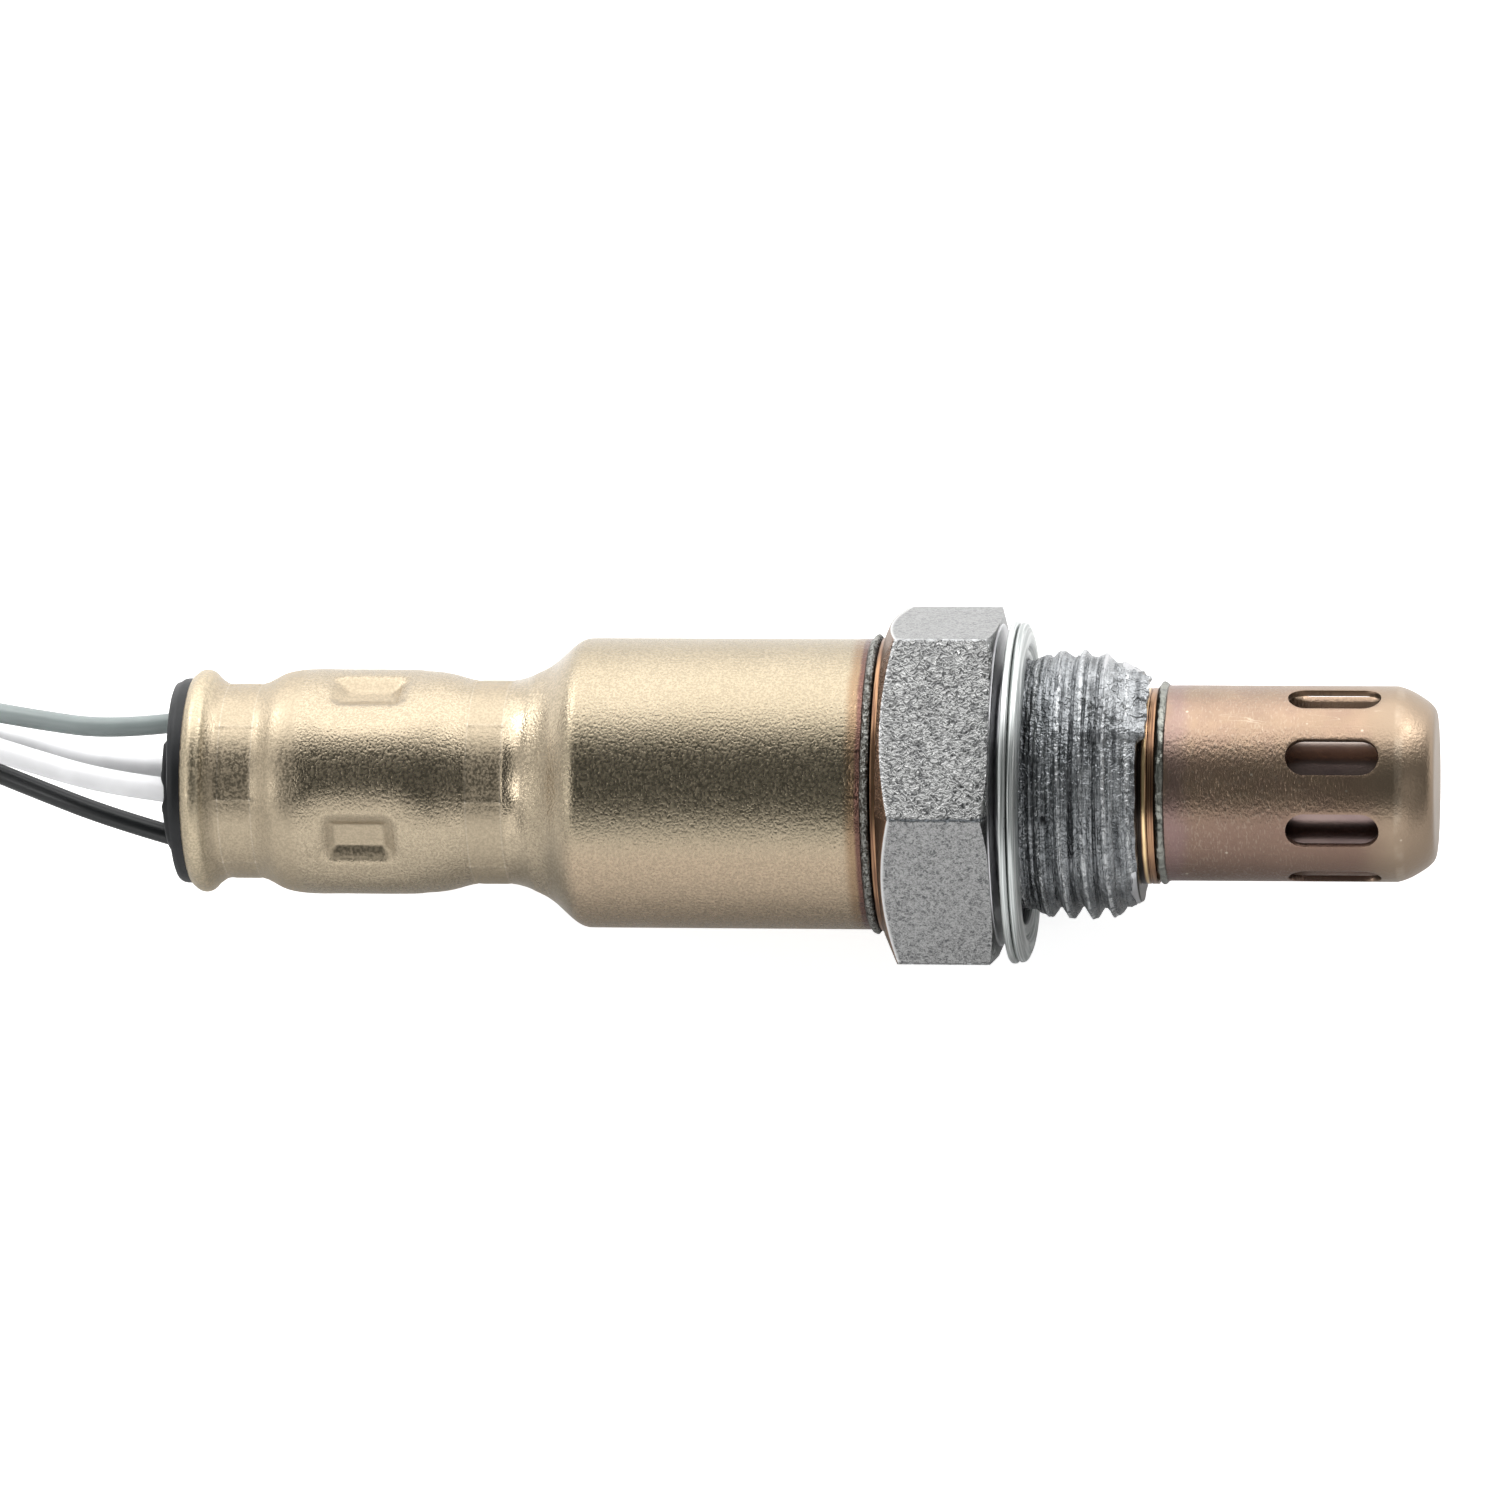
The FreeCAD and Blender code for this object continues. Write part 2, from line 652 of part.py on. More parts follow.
def make_terminal_insulator():
    """Ceramic block with four terminal bores and a pocket for the heater's end."""
    edge = insulator_radius - insulator_chamfer
    block = turned([(insulator_rear, 0), (insulator_rear, edge),
                    (insulator_rear + insulator_chamfer, insulator_radius),
                    (insulator_front - insulator_chamfer, insulator_radius), (insulator_front, edge),
                    (insulator_front, 0)])
    block = block.cut(rod(heater_radius + heater_pocket_clearance, insulator_front - heater_pocket_depth,
                          insulator_front))
    bore = barrel_crimp_radius + barrel_crimp_clearance
    for turn in lead_angle.values():
        y, z = on_circle(lead_circle_radius, turn)
        block = block.cut(rod(bore, insulator_rear, insulator_front, y, z))
    return block


def mouth_heading():
    """Direction in which the sleeve leaves its mouth."""
    return vec(sleeve_route[1]).sub(vec(sleeve_route[0])).normalize()


def lead_points(name):
    """Route of a lead from the grommet's face to the mouth of the sleeve."""
    turn = lead_angle[name]
    y, z = on_circle(lead_circle_radius, turn)
    points = [(grommet_face, y, z)]
    for centre, spread in zip(bundle_route, bundle_spread):
        y, z = on_circle(spread, turn)
        points.append((centre[0], centre[1] + y, centre[2] + z))
    heading = mouth_heading()
    aside = heading.cross(vec((0, 0, 1)))
    y, z = on_circle(mouth_spread, turn)
    end = vec(mouth) + aside * y + vec((0, 0, z))
    before = end - heading * last_lead_run
    return points + [tuple(before), tuple(end)]


def make_lead(name):
    """Lead from its crimp through the grommet and on to the sleeve."""
    y, z = on_circle(lead_circle_radius, lead_angle[name])
    inner = rod(lead_radius[name], lead_inner_end, grommet_face, y, z)
    return inner.fuse(cord_tube("lead_" + name, lead_points(name), lead_radius[name]))


def make_sleeve_collar():
    """Shrunk collar that closes the sleeve's mouth round the leads."""
    heading = mouth_heading()
    start = vec(mouth) - heading * collar_over_leads
    length = collar_over_leads + collar_over_sleeve
    outer = Part.makeCylinder(sleeve_radius + collar_wall, length, start, heading)
    return outer.cut(Part.makeCylinder(sleeve_radius, length, start, heading))


def make_hank_tie():
    """Strap round the two stretches of sleeve that lie on each other, with its head on top."""
    width = sleeve_diameter + 2 * tie_clearance
    height = sleeve_cross_z - sleeve_rest_z + width
    z = (sleeve_cross_z + sleeve_rest_z) / 2
    ends = (tie_x - tie_width / 2, tie_x + tie_width / 2)
    strap = rounded_block(*ends, width + 2 * tie_thickness, height + 2 * tie_thickness,
                          width / 2 + tie_thickness * 0.98, tie_y, z)
    strap = strap.cut(rounded_block(*ends, width, height, width / 2 * 0.98, tie_y, z))
    head_z = z + height / 2 + (tie_thickness + tie_head_height) / 2
    head = rounded_block(tie_x - tie_head_length / 2, tie_x + tie_head_length / 2, tie_head_breadth,
                         tie_head_height, tie_thickness * 0.7, tie_y, head_z)
    return strap.fuse(head)


def make_connector_boot():
    """Rubber boot of the connector: a ribbed tail and the plug inside the housing."""
    ribs = []
    x = connector_rear_x
    for k in range(boot_rib_count):
        rib_x = x - boot_rib_width - boot_rib_pitch * k
        ribs += [(rib_x, boot_rear_radius), ((rib_x - boot_rib_width / 2, boot_rib_radius),
                                             (rib_x - boot_rib_width, boot_rear_radius))]
    plug_end = housing_rear - boot_plug_length
    boot = turned([(x, 0), (x, boot_rear_radius)] + ribs +
                  [(housing_rear, boot_plug_radius), (plug_end, boot_plug_radius), (plug_end, 0)])
    boot.translate(vec((0, connector_y, connector_z)))
    return boot


def make_connector_housing():
    """Moulded housing: rear block, shroud with its cavity, latch ramp and side ribs."""
    y, z = connector_y, connector_z
    block_front = housing_rear - housing_rear_length
    rear = rounded_block(housing_rear, block_front, housing_rear_width, housing_rear_height,
                         housing_corner, y, z)
    shroud = rounded_block(block_front, housing_front, housing_width, housing_height, housing_corner, y, z)
    cavity = rounded_block(shroud_floor, housing_front, housing_width - 2 * shroud_wall,
                           housing_height - 2 * shroud_wall, cavity_corner, y, z)
    latch_x = housing_front + latch_setback
    top = z + housing_height / 2
    ramp = [(latch_x, top - latch_foot), (latch_x, top + latch_step),
            (latch_x + latch_ramp, top + latch_height), (latch_x + latch_length, top + latch_height),
            (latch_x + latch_length, top - latch_foot)]
    profile = Part.makePolygon([vec((px, y - latch_width / 2, pz)) for px, pz in ramp + ramp[:1]])
    latch = Part.Face(profile).extrude(vec((0, latch_width, 0)))
    housing = rear.fuse([shroud, latch])
    for side in (-1, 1):
        rib_y = y + side * (housing_rear_width / 2)
        corner = vec((block_front, rib_y - side_rib_height, z - side_rib_width / 2))
        rib = Part.makeBox(housing_rear_length, 2 * side_rib_height, side_rib_width, corner)
        housing = housing.fuse(rib)
    boot_hole = rod(boot_plug_radius, housing_rear, housing_rear - boot_plug_length, y, z)
    return housing.cut(cavity).cut(boot_hole).removeSplitter()


def make_connector_seal():
    """Soft seal lying round the foot of the connector's cavity."""
    width = housing_width - 2 * shroud_wall
    height = housing_height - 2 * shroud_wall
    front = shroud_floor - seal_length
    outer = rounded_block(shroud_floor, front, width, height, cavity_corner, connector_y, connector_z)
    inner = rounded_block(shroud_floor, front, width - 2 * seal_wall, height - 2 * seal_wall,
                          seal_inner_corner, connector_y, connector_z)
    return outer.cut(inner)


def make_connector_pins():
    """Four flat tabs standing in the connector's cavity."""
    pins = []
    for side_y in (-1, 1):
        for side_z in (-1, 1):
            y = connector_y + side_y * pin_pitch_y / 2
            z = connector_z + side_z * pin_pitch_z / 2
            tip = shroud_floor - pin_length
            block = Part.makeBox(pin_length, pin_width, pin_thickness,
                                 vec((tip, y - pin_width / 2, z - pin_thickness / 2)))
            tip_edges = [e for e in block.Edges if e.BoundBox.XMax < tip + 1e-6]
            pins.append(block.makeChamfer(pin_taper, tip_edges))
    return pins


def save(name, shapes):
    """Write one node, checked as closed solids."""
    solids = []
    for shape in shapes if isinstance(shapes, list) else [shapes]:
        solids += shape.Solids
    shape = solids[0] if len(solids) == 1 else Part.makeCompound(solids)
    if not shape.isValid() or not solids:
        print("not valid:", name)
    shape.exportStep(os.path.join("parts", name + ".step"))
    print(name, "solids", len(solids), "volume", round(shape.Volume, 2))


def main():
    os.makedirs("parts", exist_ok=True)
    save("shell", make_shell())
    save("gasket", make_gasket())
    save("rear_cover", make_rear_cover())
    save("grommet", make_grommet())
    save("outer_shield", make_outer_shield())
    save("inner_shield", make_inner_shield())
    save("sensing_thimble", make_sensing_thimble())
    save("heater_rod", rod(heater_radius, heater_rear, heater_front))
    save("packing_washer", make_packing_washer())
    talc_end = thimble_shoulder_start - talc_length
    save("talc_seal", ring(thimble_stub_radius, chamber_radius, talc_end, thimble_shoulder_start))
    save("seal_insulator", ring(thimble_stub_radius, chamber_radius, seal_rear, talc_end))
    save("crimp_ring", make_crimp_ring())
    save("inner_contact", make_inner_contact())
    save("outer_contact", make_outer_contact())
    save("heater_contacts", make_heater_contacts())
    save("crimp_barrels", make_crimp_barrels())
    save("terminal_insulator", make_terminal_insulator())
    for name in lead_angle:
        save("lead_" + name, make_lead(name))
    save("sleeve_collar", make_sleeve_collar())
    save("harness_sleeve", cord_tube("harness_sleeve", sleeve_route, sleeve_radius))
    save("hank_tie", make_hank_tie())
    save("connector_boot", make_connector_boot())
    save("connector_housing", make_connector_housing())
    save("connector_seal", make_connector_seal())
    save("connector_pins", make_connector_pins())


main()
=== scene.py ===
import logging
import math
from collections.abc import Callable
from dataclasses import dataclass, field
from enum import Enum
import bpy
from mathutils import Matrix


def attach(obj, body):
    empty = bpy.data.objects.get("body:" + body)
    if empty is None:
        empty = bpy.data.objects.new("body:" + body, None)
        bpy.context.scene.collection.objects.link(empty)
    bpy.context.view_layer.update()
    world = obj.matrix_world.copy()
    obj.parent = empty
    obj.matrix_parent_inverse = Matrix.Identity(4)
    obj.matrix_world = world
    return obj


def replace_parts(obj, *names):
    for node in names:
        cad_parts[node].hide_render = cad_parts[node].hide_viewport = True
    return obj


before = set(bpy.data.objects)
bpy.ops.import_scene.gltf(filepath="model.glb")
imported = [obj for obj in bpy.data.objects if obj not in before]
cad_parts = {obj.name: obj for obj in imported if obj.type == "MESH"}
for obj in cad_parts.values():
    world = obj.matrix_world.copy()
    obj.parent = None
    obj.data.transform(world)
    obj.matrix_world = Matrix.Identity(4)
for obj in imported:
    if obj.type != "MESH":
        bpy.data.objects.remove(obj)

from types import SimpleNamespace

import bmesh
import bpy
from mathutils import Matrix, Vector, noise

MM = 0.001  # in metres
METRE = 1000.0  # in millimetres
TAU = 2 * math.pi
THREAD_PITCH = 1.5
THREAD_CREST_X = 4.244
DIE_COUNT = 8
DIE_TURN = 14.6
HEXAGON_REAR = -7.65
CHAMFER_RADIUS = 10.45
STRANDS_ROUND = 12.0
STRANDS_PER_METRE = 620.0
Point = tuple[float, float]
Place = tuple[float, float, float]
Colour = tuple[float, float, float]
Material = bpy.types.Material
log = logging.getLogger("oxygen_sensor")


class Side(Enum):
    """Which way a soft box stands from the camera, seen along the sensor."""

    ABOVE = 1
    BELOW = -1


class Jacket(Enum):
    """Colour of a lead's silicone jacket."""

    GRAY = (0.270, 0.310, 0.305)
    WHITE = (0.930, 0.925, 0.940)
    BLACK = (0.004, 0.005, 0.006)


# Measuring help


def smooth_mask(value: float, low: float, high: float) -> float:
    """Rises smoothly from 0 at low to 1 at high.

    Args:
        value: The number that is compared.
        low: Where the mask starts.
        high: Where the mask is full, which may lie below low.

    Returns:
        A number from 0 to 1.
    """
    share = min(1.0, max(0.0, (value - low) / (high - low)))
    return share * share * (3 - 2 * share)


def window(value: float, centre: float, half: float, soft: float) -> float:
    """Mask that is full within half of the centre and fades over soft."""
    return smooth_mask(abs(value - centre), half + soft, half)


def turn_between(angle: float, other: float) -> float:
    """Signed difference of two angles in degrees, from -180 to 180."""
    return (angle - other + 180) % 360 - 180


def angle_of(co: Vector) -> float:
    """Angle of a point about the sensor's axis, in degrees from +Z towards +Y."""
    return math.degrees(math.atan2(co.y, co.z))


def sector(turn: float, middle: float, half: float, soft: float) -> float:
    """Mask of a stretch round the axis, in degrees."""
    return window(turn_between(turn, middle), 0.0, half, soft)


def ragged(turn: float) -> float:
    """Uneven number from -1 to 1 by angle, which the paste's ends follow."""
    return noise.noise(Vector((turn * 0.09, 0.3, 4.2)))


def radius_of(co: Vector) -> float:
    """Distance of a point from the axis."""
    return math.hypot(co.y, co.z)


def set_radius(co: Vector, radius: float) -> None:
    """Moves a point straight in or out to a radius from the axis."""
    now = radius_of(co)
    co.y *= radius / now
    co.z *= radius / now


class Line:
    """Outline in the plane of x and radius, in millimetres."""

    def __init__(self, x: float, radius: float) -> None:
        """Starts the outline at a point."""
        self.points: list[Point] = [(x, radius)]

    def to(self, x: float, radius: float, step: float = 0.0) -> "Line":
        """Goes straight to a point.

        Args:
            x: Place along the axis.
            radius: Distance from the axis.
            step: Largest distance between the points on the way, or 0 for none.

        Returns:
            The outline itself.
        """
        x0, r0 = self.points[-1]
        length = math.hypot(x - x0, radius - r0)
        parts = max(1, math.ceil(length / step)) if step else 1
        for k in range(1, parts + 1):
            self.points.append((x0 + (x - x0) * k / parts, r0 + (radius - r0) * k / parts))
        return self

    def arc(self, via: Point, end: Point, parts: int = 6) -> "Line":
        """Goes along the circle through a middle point to an end point."""
        (ax, ay), (bx, by), (cx, cy) = self.points[-1], via, end
        d = 2 * (ax * (by - cy) + bx * (cy - ay) + cx * (ay - by))
        a2, b2, c2 = ax * ax + ay * ay, bx * bx + by * by, cx * cx + cy * cy
        ux = (a2 * (by - cy) + b2 * (cy - ay) + c2 * (ay - by)) / d
        uy = (a2 * (cx - bx) + b2 * (ax - cx) + c2 * (bx - ax)) / d
        radius = math.hypot(ax - ux, ay - uy)
        start = math.atan2(ay - uy, ax - ux)
        middle = math.atan2(by - uy, bx - ux)
        stop = math.atan2(cy - uy, cx - ux)
        sweep = (stop - start) % TAU
        if (middle - start) % TAU > sweep:
            sweep -= TAU
        for k in range(1, parts + 1):
            turn = start + sweep * k / parts
            self.points.append((ux + radius * math.cos(turn), uy + radius * math.sin(turn)))
        return self

    def curve(self, knots: list[Point], step: float = 0.2) -> "Line":
        """Runs smoothly through knots, starting from the last point."""
        chain = [self.points[-1]] + knots
        chain = [self._beyond(chain[1], chain[0])] + chain + [self._beyond(chain[-2], chain[-1])]
        for p0, p1, p2, p3 in zip(chain, chain[1:], chain[2:], chain[3:]):
            parts = max(1, math.ceil(math.dist(p1, p2) / step))
            for k in range(1, parts + 1):
                self.points.append(tuple(self._between(a, b, c, d, k / parts)
                                         for a, b, c, d in zip(p0, p1, p2, p3)))
        return self

    @staticmethod
    def _beyond(inner: Point, end: Point) -> Point:
        """Point that continues past an end."""
        return 2 * end[0] - inner[0], 2 * end[1] - inner[1]

    @staticmethod
    def _between(a: float, b: float, c: float, d: float, t: float) -> float:
        """One coordinate of a smooth curve from b to c."""
        return 0.5 * (2 * b + (c - a) * t + (2 * a - 5 * b + 4 * c - d) * t ** 2
                      + (3 * b - a - 3 * c + d) * t ** 3)


# Mesh help


def spin(points: list[Point], steps: int, closed: bool = False) -> bmesh.types.BMesh:
    """Turns an outline about the sensor's axis.

    Args:
        points: Outline as (x, radius), in millimetres.
        steps: How many steps make the full turn.
        closed: Whether the outline's end joins its start.

    Returns:
        The mesh of the surface.
    """
    bm = bmesh.new()
    turns = [TAU * k / steps for k in range(steps)]
    rings = [[bm.verts.new((x, -radius * math.sin(turn), radius * math.cos(turn)))
              for turn in (turns if radius else turns[:1])] for x, radius in points]
    for ring, following in zip(rings, rings[1:] + rings[:closed]):
        for k in range(steps):
            corners = [loop[spot % len(loop)] for loop, spot in (
                (ring, k), (ring, k + 1), (following, k + 1), (following, k))]
            bm.faces.new(dict.fromkeys(corners))
    bmesh.ops.recalc_face_normals(bm, faces=bm.faces)
    return bm


def to_mesh(bm: bmesh.types.BMesh, name: str) -> bpy.types.Mesh:
    """Turns a mesh in the making, which is freed, into a named one."""
    mesh = bpy.data.meshes.new(name)
    bm.to_mesh(mesh)
    bm.free()
    return mesh


def add_object(name: str, data: bpy.types.ID) -> bpy.types.Object:
    """Puts a new object into the scene."""
    item = bpy.data.objects.new(name, data)
    bpy.context.scene.collection.objects.link(item)
    return item


def set_all(thing: object, **settings: object) -> None:
    """Sets several properties of a thing."""
    for key, value in settings.items():
        setattr(thing, key, value)


def set_axes(place: Vector, across: Vector, up: Vector, out: Vector) -> Matrix:
    """Transform that stands a thing at a place along three axes."""
    return Matrix.Translation(place) @ Matrix((across, up, out)).transposed().to_4x4()


def finish_piece(bm: bmesh.types.BMesh, name: str, materials: list[Material],
                 sharp: float = 30.0) -> bpy.types.Object:
    """Turns a mesh in millimetres into a finished piece in metres.

    Args:
        bm: The mesh, which is freed.
        name: The piece's name.
        materials: Its materials, in the order that its faces number them.
        sharp: Angle in degrees past which an edge is shaded sharp.

    Returns:
        The piece, riding on the sensor.
    """
    bmesh.ops.scale(bm, vec=(MM, MM, MM), verts=bm.verts)
    mesh = to_mesh(bm, name)
    mesh.shade_smooth()
    mesh.set_sharp_from_angle(angle=math.radians(sharp))
    piece = add_object(name, mesh)
    for material in materials:
        mesh.materials.append(material)
    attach(piece, "root")
    log.info("%s: %d faces", name, len(mesh.polygons))
    return piece


# Node help


class Value:
    """Number or colour that a node puts out, with the usual arithmetic."""

    def __init__(self, socket: bpy.types.NodeSocket) -> None:
        """Wraps a node's output."""
        self.socket = socket
        self.nodes = Nodes(socket.id_data)

    def math(self, operation: str, other: "Value | float" = 0.0) -> "Value":
        """Puts this value and another through a math node."""
        return self.nodes.value("Math", {0: self, 1: other}, operation=operation)

    def __add__(self, other: "Value | float") -> "Value":
        """Adds a value."""
        return self.math("ADD", other)

    def __sub__(self, other: "Value | float") -> "Value":
        """Takes a value away."""
        return self.math("SUBTRACT", other)

    def __rsub__(self, other: float) -> "Value":
        """Takes this value away from a number."""
        return self.nodes.value("Math", {0: other, 1: self}, operation="SUBTRACT")

    def __mul__(self, other: "Value | float") -> "Value":
        """Multiplies by a value."""
        return self.math("MULTIPLY", other)

    def __truediv__(self, other: "Value | float") -> "Value":
        """Divides by a value."""
        return self.math("DIVIDE", other)

    def __rtruediv__(self, other: float) -> "Value":
        """Divides a number by this value."""
        return self.nodes.value("Math", {0: other, 1: self}, operation="DIVIDE")

    def __abs__(self) -> "Value":
        """Drops the sign."""
        return self.math("ABSOLUTE")

    def mix(self, first: "Value | Colour", second: "Value | Colour") -> "Value":
        """Mixes two colours, with this value as the second one's share."""
        return self.nodes.value("Mix", {0: self, 6: first, 7: second}, 2, data_type="RGBA")

    def ramp(self, low: float, high: float, out_low: float = 0.0, out_high: float = 1.0) -> "Value":
        """Maps this value smoothly from one range to another."""
        return self.nodes.value("MapRange", {"Value": self, "From Min": low, "From Max": high, "To Min": out_low,
                                             "To Max": out_high}, interpolation_type="SMOOTHSTEP")


def most(*values: Value) -> Value:
    """Largest of some values."""
    first, *others = values
    for other in others:
        first = first.math("MAXIMUM", other)
    return first


class Nodes:
    """Short way to add and join shader nodes in one tree."""

    def __init__(self, tree: bpy.types.NodeTree) -> None:
        """Works on a material's or a group's tree."""
        self.tree = tree

    def give(self, socket: bpy.types.NodeSocket, value: object) -> None:
        """Sets an input to a number or colour, or joins a node's output to it."""
        if isinstance(value, Value):
            value = value.socket
        if isinstance(value, bpy.types.NodeSocket):
            self.tree.links.new(value, socket)
        else:
            socket.default_value = (*value, 1.0) if socket.type == "RGBA" else value

    def add(self, kind: str, inputs: dict | None = None, **settings: object) -> bpy.types.Node:
        """Adds a node.

        Args:
            kind: The node's type without its ShaderNode prefix.
            inputs: Socket names or numbers with a value or another node's output.
            settings: Properties of the node.

        Returns:
            The new node.
        """
        node = self.tree.nodes.new("ShaderNode" + kind)
        set_all(node, **settings)
        for key, value in (inputs or {}).items():
            self.give(node.inputs[key], value)
        return node

    def value(self, kind: str, inputs: dict | None = None, output: str | int = 0, **settings: object) -> Value:
        """Adds a node and returns one of its outputs."""
        return Value(self.add(kind, inputs, **settings).outputs[output])

    def noise(self, place: Value, scale: Value | float, detail: float, **settings: float) -> Value:
        """Adds a noise texture whose settings are further inputs, and returns its value."""
        inputs = {"Vector": place, "Scale": scale, "Detail": detail} | settings
        return self.value("TexNoise", inputs, "Fac")


def new_group(name: str, inputs: dict[str, float], body: Callable[..., dict[str, Value]]) -> bpy.types.NodeTree:
    """Makes a shader node group that reads Object coordinates.

    Args:
        name: The group's name.
        inputs: Names of its number inputs with their defaults.
        body: Function of the group's nodes, its place and its inputs that returns its outputs by name.

    Returns:
        The group.
    """
    tree = bpy.data.node_groups.new(name, "ShaderNodeTree")
    for key, value in inputs.items():
        tree.interface.new_socket(key, in_out="INPUT", socket_type="NodeSocketFloat").default_value = value
    nodes = Nodes(tree)
    entry = tree.nodes.new("NodeGroupInput")
    place = nodes.value("TexCoord", output="Object")
    results = body(nodes, place, *(Value(entry.outputs[key]) for key in inputs))
    for key in results:
        tree.interface.new_socket(key, in_out="OUTPUT", socket_type="NodeSocketFloat")
    out = tree.nodes.new("NodeGroupOutput")
    for key, value in results.items():
        nodes.give(out.inputs[key], value)
    return tree


def draw_grain(nodes: Nodes, place: Value, size: Value, mottle_size: Value) -> dict[str, Value]:
    """Fine to coarse grain: rounded pebbles, narrow winding ridges and a soft mottle."""
    fine = nodes.noise(place, METRE / size, 2.0, Roughness=0.55)
    broad = nodes.noise(place, METRE / mottle_size, 3.0)
    winding = nodes.noise(place, METRE / size, 1.0, Distortion=0.9)
    return {"height": fine, "ridges": abs(winding - 0.5).ramp(0.16, 0.0), "mottle": broad.ramp(0.35, 0.65)}


def draw_turned(nodes: Nodes, place: Value, pitch: Value, length: Value) -> dict[str, Value]:
    """Fine lines that run round the sensor's axis, as drawing and turning leave, and the place about it."""
    x, y, z = (Value(part) for part in nodes.add("SeparateXYZ", {0: place}).outputs)
    along = x * METRE
    stretch = METRE / length
    spot = nodes.value("CombineXYZ", {0: along / pitch, 1: y * stretch, 2: z * stretch})
    return {"height": nodes.noise(spot, 1.0, 2.0), "along": along, "angle": y.math("ARCTAN2", z).math("DEGREES"),
            "radius": (y * y + z * z).math("SQRT") * METRE}


def draw_band(nodes: Nodes, place: Value, start: Value, end: Value, soft: Value, waver: Value) -> dict[str, Value]:
    """Mask of a stretch along the axis, with soft and slightly uneven ends."""
    shift = (nodes.noise(place, 420.0, 2.0) - 0.5) * waver
    x = nodes.value("SeparateXYZ", {0: place}) * METRE + shift
    return {"mask": ((x - start) / soft).ramp(-0.5, 0.5) * ((end - x) / soft).ramp(-0.5, 0.5)}


def draw_marks(nodes: Nodes, place: Value, speck_size: Value, amount: Value) -> dict[str, Value]:
    """Pale specks and short fine scratches from handling."""
    cells = nodes.add("TexVoronoi", {"Vector": place, "Scale": METRE / speck_size})
    picked = nodes.value("SeparateColor", {0: cells.outputs["Color"]}).math("GREATER_THAN", 1.0 - amount * 0.5)
    bent = nodes.value("TexNoise", {"Vector": place, "Scale": 700.0, "Detail": 2.0}, "Color")
    shift = nodes.value("VectorMath", {0: bent, "Scale": 0.0006}, operation="SCALE")
    moved = nodes.value("VectorMath", {0: place, 1: shift}, operation="ADD")
    hair = nodes.noise(nodes.value("Mapping", {"Vector": moved, "Rotation": (0.4, 0.7, 0.9),
                                               "Scale": (150.0, 1900.0, 900.0)}), 1.0, 0.0)
    rare = nodes.noise(place, 210.0, 1.0).ramp(0.60, 0.66)
    return {"specks": picked * Value(cells.outputs["Distance"]).ramp(0.16, 0.05),
            "scratches": abs(hair - 0.5).math("LESS_THAN", 0.006) * rare}


@dataclass(frozen=True)
class Effects:
    """Shader node groups that several finishes share."""

    grain: bpy.types.NodeTree
    turned: bpy.types.NodeTree
    band: bpy.types.NodeTree
    marks: bpy.types.NodeTree

    @classmethod
    def build(cls) -> "Effects":
        """Makes every group once."""
        return cls(new_group("grain", {"size": 0.3, "mottle_size": 6.0}, draw_grain),
                   new_group("turned_lines", {"pitch": 0.15, "length": 4.0}, draw_turned),
                   new_group("axis_band", {"start": 0.0, "end": 1.0, "soft": 0.2, "waver": 0.0}, draw_band),
                   new_group("marks", {"speck_size": 0.8, "amount": 0.5}, draw_marks))


class Finish:
    """Material in the making: its nodes, its shader, its colour so far and the shared effects."""

    def __init__(self, name: str, effects: Effects, metallic: float, roughness: float) -> None:
        """Makes a material with a Principled shader.

        Args:
            name: The material's name.
            effects: The shared node groups.
            metallic: 1 for bare metal, 0 for anything else.
            roughness: Roughness where nothing else sets it.
        """
        self.material = bpy.data.materials.new(name)
        self.material.use_nodes = True
        self.nodes = Nodes(self.material.node_tree)
        self.effects = effects
        self.shader = self.material.node_tree.nodes["Principled BSDF"]
        self.shader.inputs["Metallic"].default_value = metallic
        self.shader.inputs["Roughness"].default_value = roughness
        self.coat: Value | Colour = (0.5, 0.5, 0.5)

    def group(self, tree: bpy.types.NodeTree, **values: float) -> SimpleNamespace:
        """Places a shared effect with its own values, in millimetres, and returns its outputs."""
        node = self.nodes.add("Group", values, node_tree=tree)
        return SimpleNamespace(**{socket.name: Value(socket) for socket in node.outputs})

    def grain(self, size: float, mottle_size: float) -> SimpleNamespace:
        """Grain with its height, ridges and mottle."""
        return self.group(self.effects.grain, size=size, mottle_size=mottle_size)

    def turned(self, pitch: float = 0.15, length: float = 4.0) -> SimpleNamespace:
        """Lines round the axis with their height, and the place along, angle and radius about it."""
        return self.group(self.effects.turned, pitch=pitch, length=length)

    def band(self, start: float, end: float, soft: float = 0.2, waver: float = 0.0) -> Value:
        """Mask of a stretch along the axis."""
        return self.group(self.effects.band, start=start, end=end, soft=soft, waver=waver).mask

    def marks(self, speck_size: float, amount: float) -> SimpleNamespace:
        """Specks and scratches from handling."""
        return self.group(self.effects.marks, speck_size=speck_size, amount=amount)

    def paint(self, mask: Value, colour: "Value | Colour") -> None:
        """Lays a colour over the present one, as far as the mask is full."""
        self.coat = mask.mix(self.coat, colour)

    def roughness(self, value: Value) -> None:
        """Joins the roughness."""
        self.nodes.give(self.shader.inputs["Roughness"], value)

    def bump(self, height: Value, depth: float) -> None:
        """Raises the surface by a height mask.

        Args:
            height: Mask that rises from 0 to 1.
            depth: Height of a full mask, in millimetres.
        """
        node = self.nodes.add("Bump", {"Height": height, "Distance": depth * MM, "Strength": 1.0})
        last = self.shader.inputs["Normal"]
        if last.is_linked:
            self.nodes.give(node.inputs["Normal"], last.links[0].from_socket)
        self.nodes.give(last, node.outputs[0])

    def done(self) -> Material:
        """Joins the colour and hands the material over."""
        self.nodes.give(self.shader.inputs["Base Color"], self.coat)
        return self.material


def darker(colour: Colour, share: float) -> Colour:
    """Scales a colour down."""
    return tuple(part * share for part in colour)


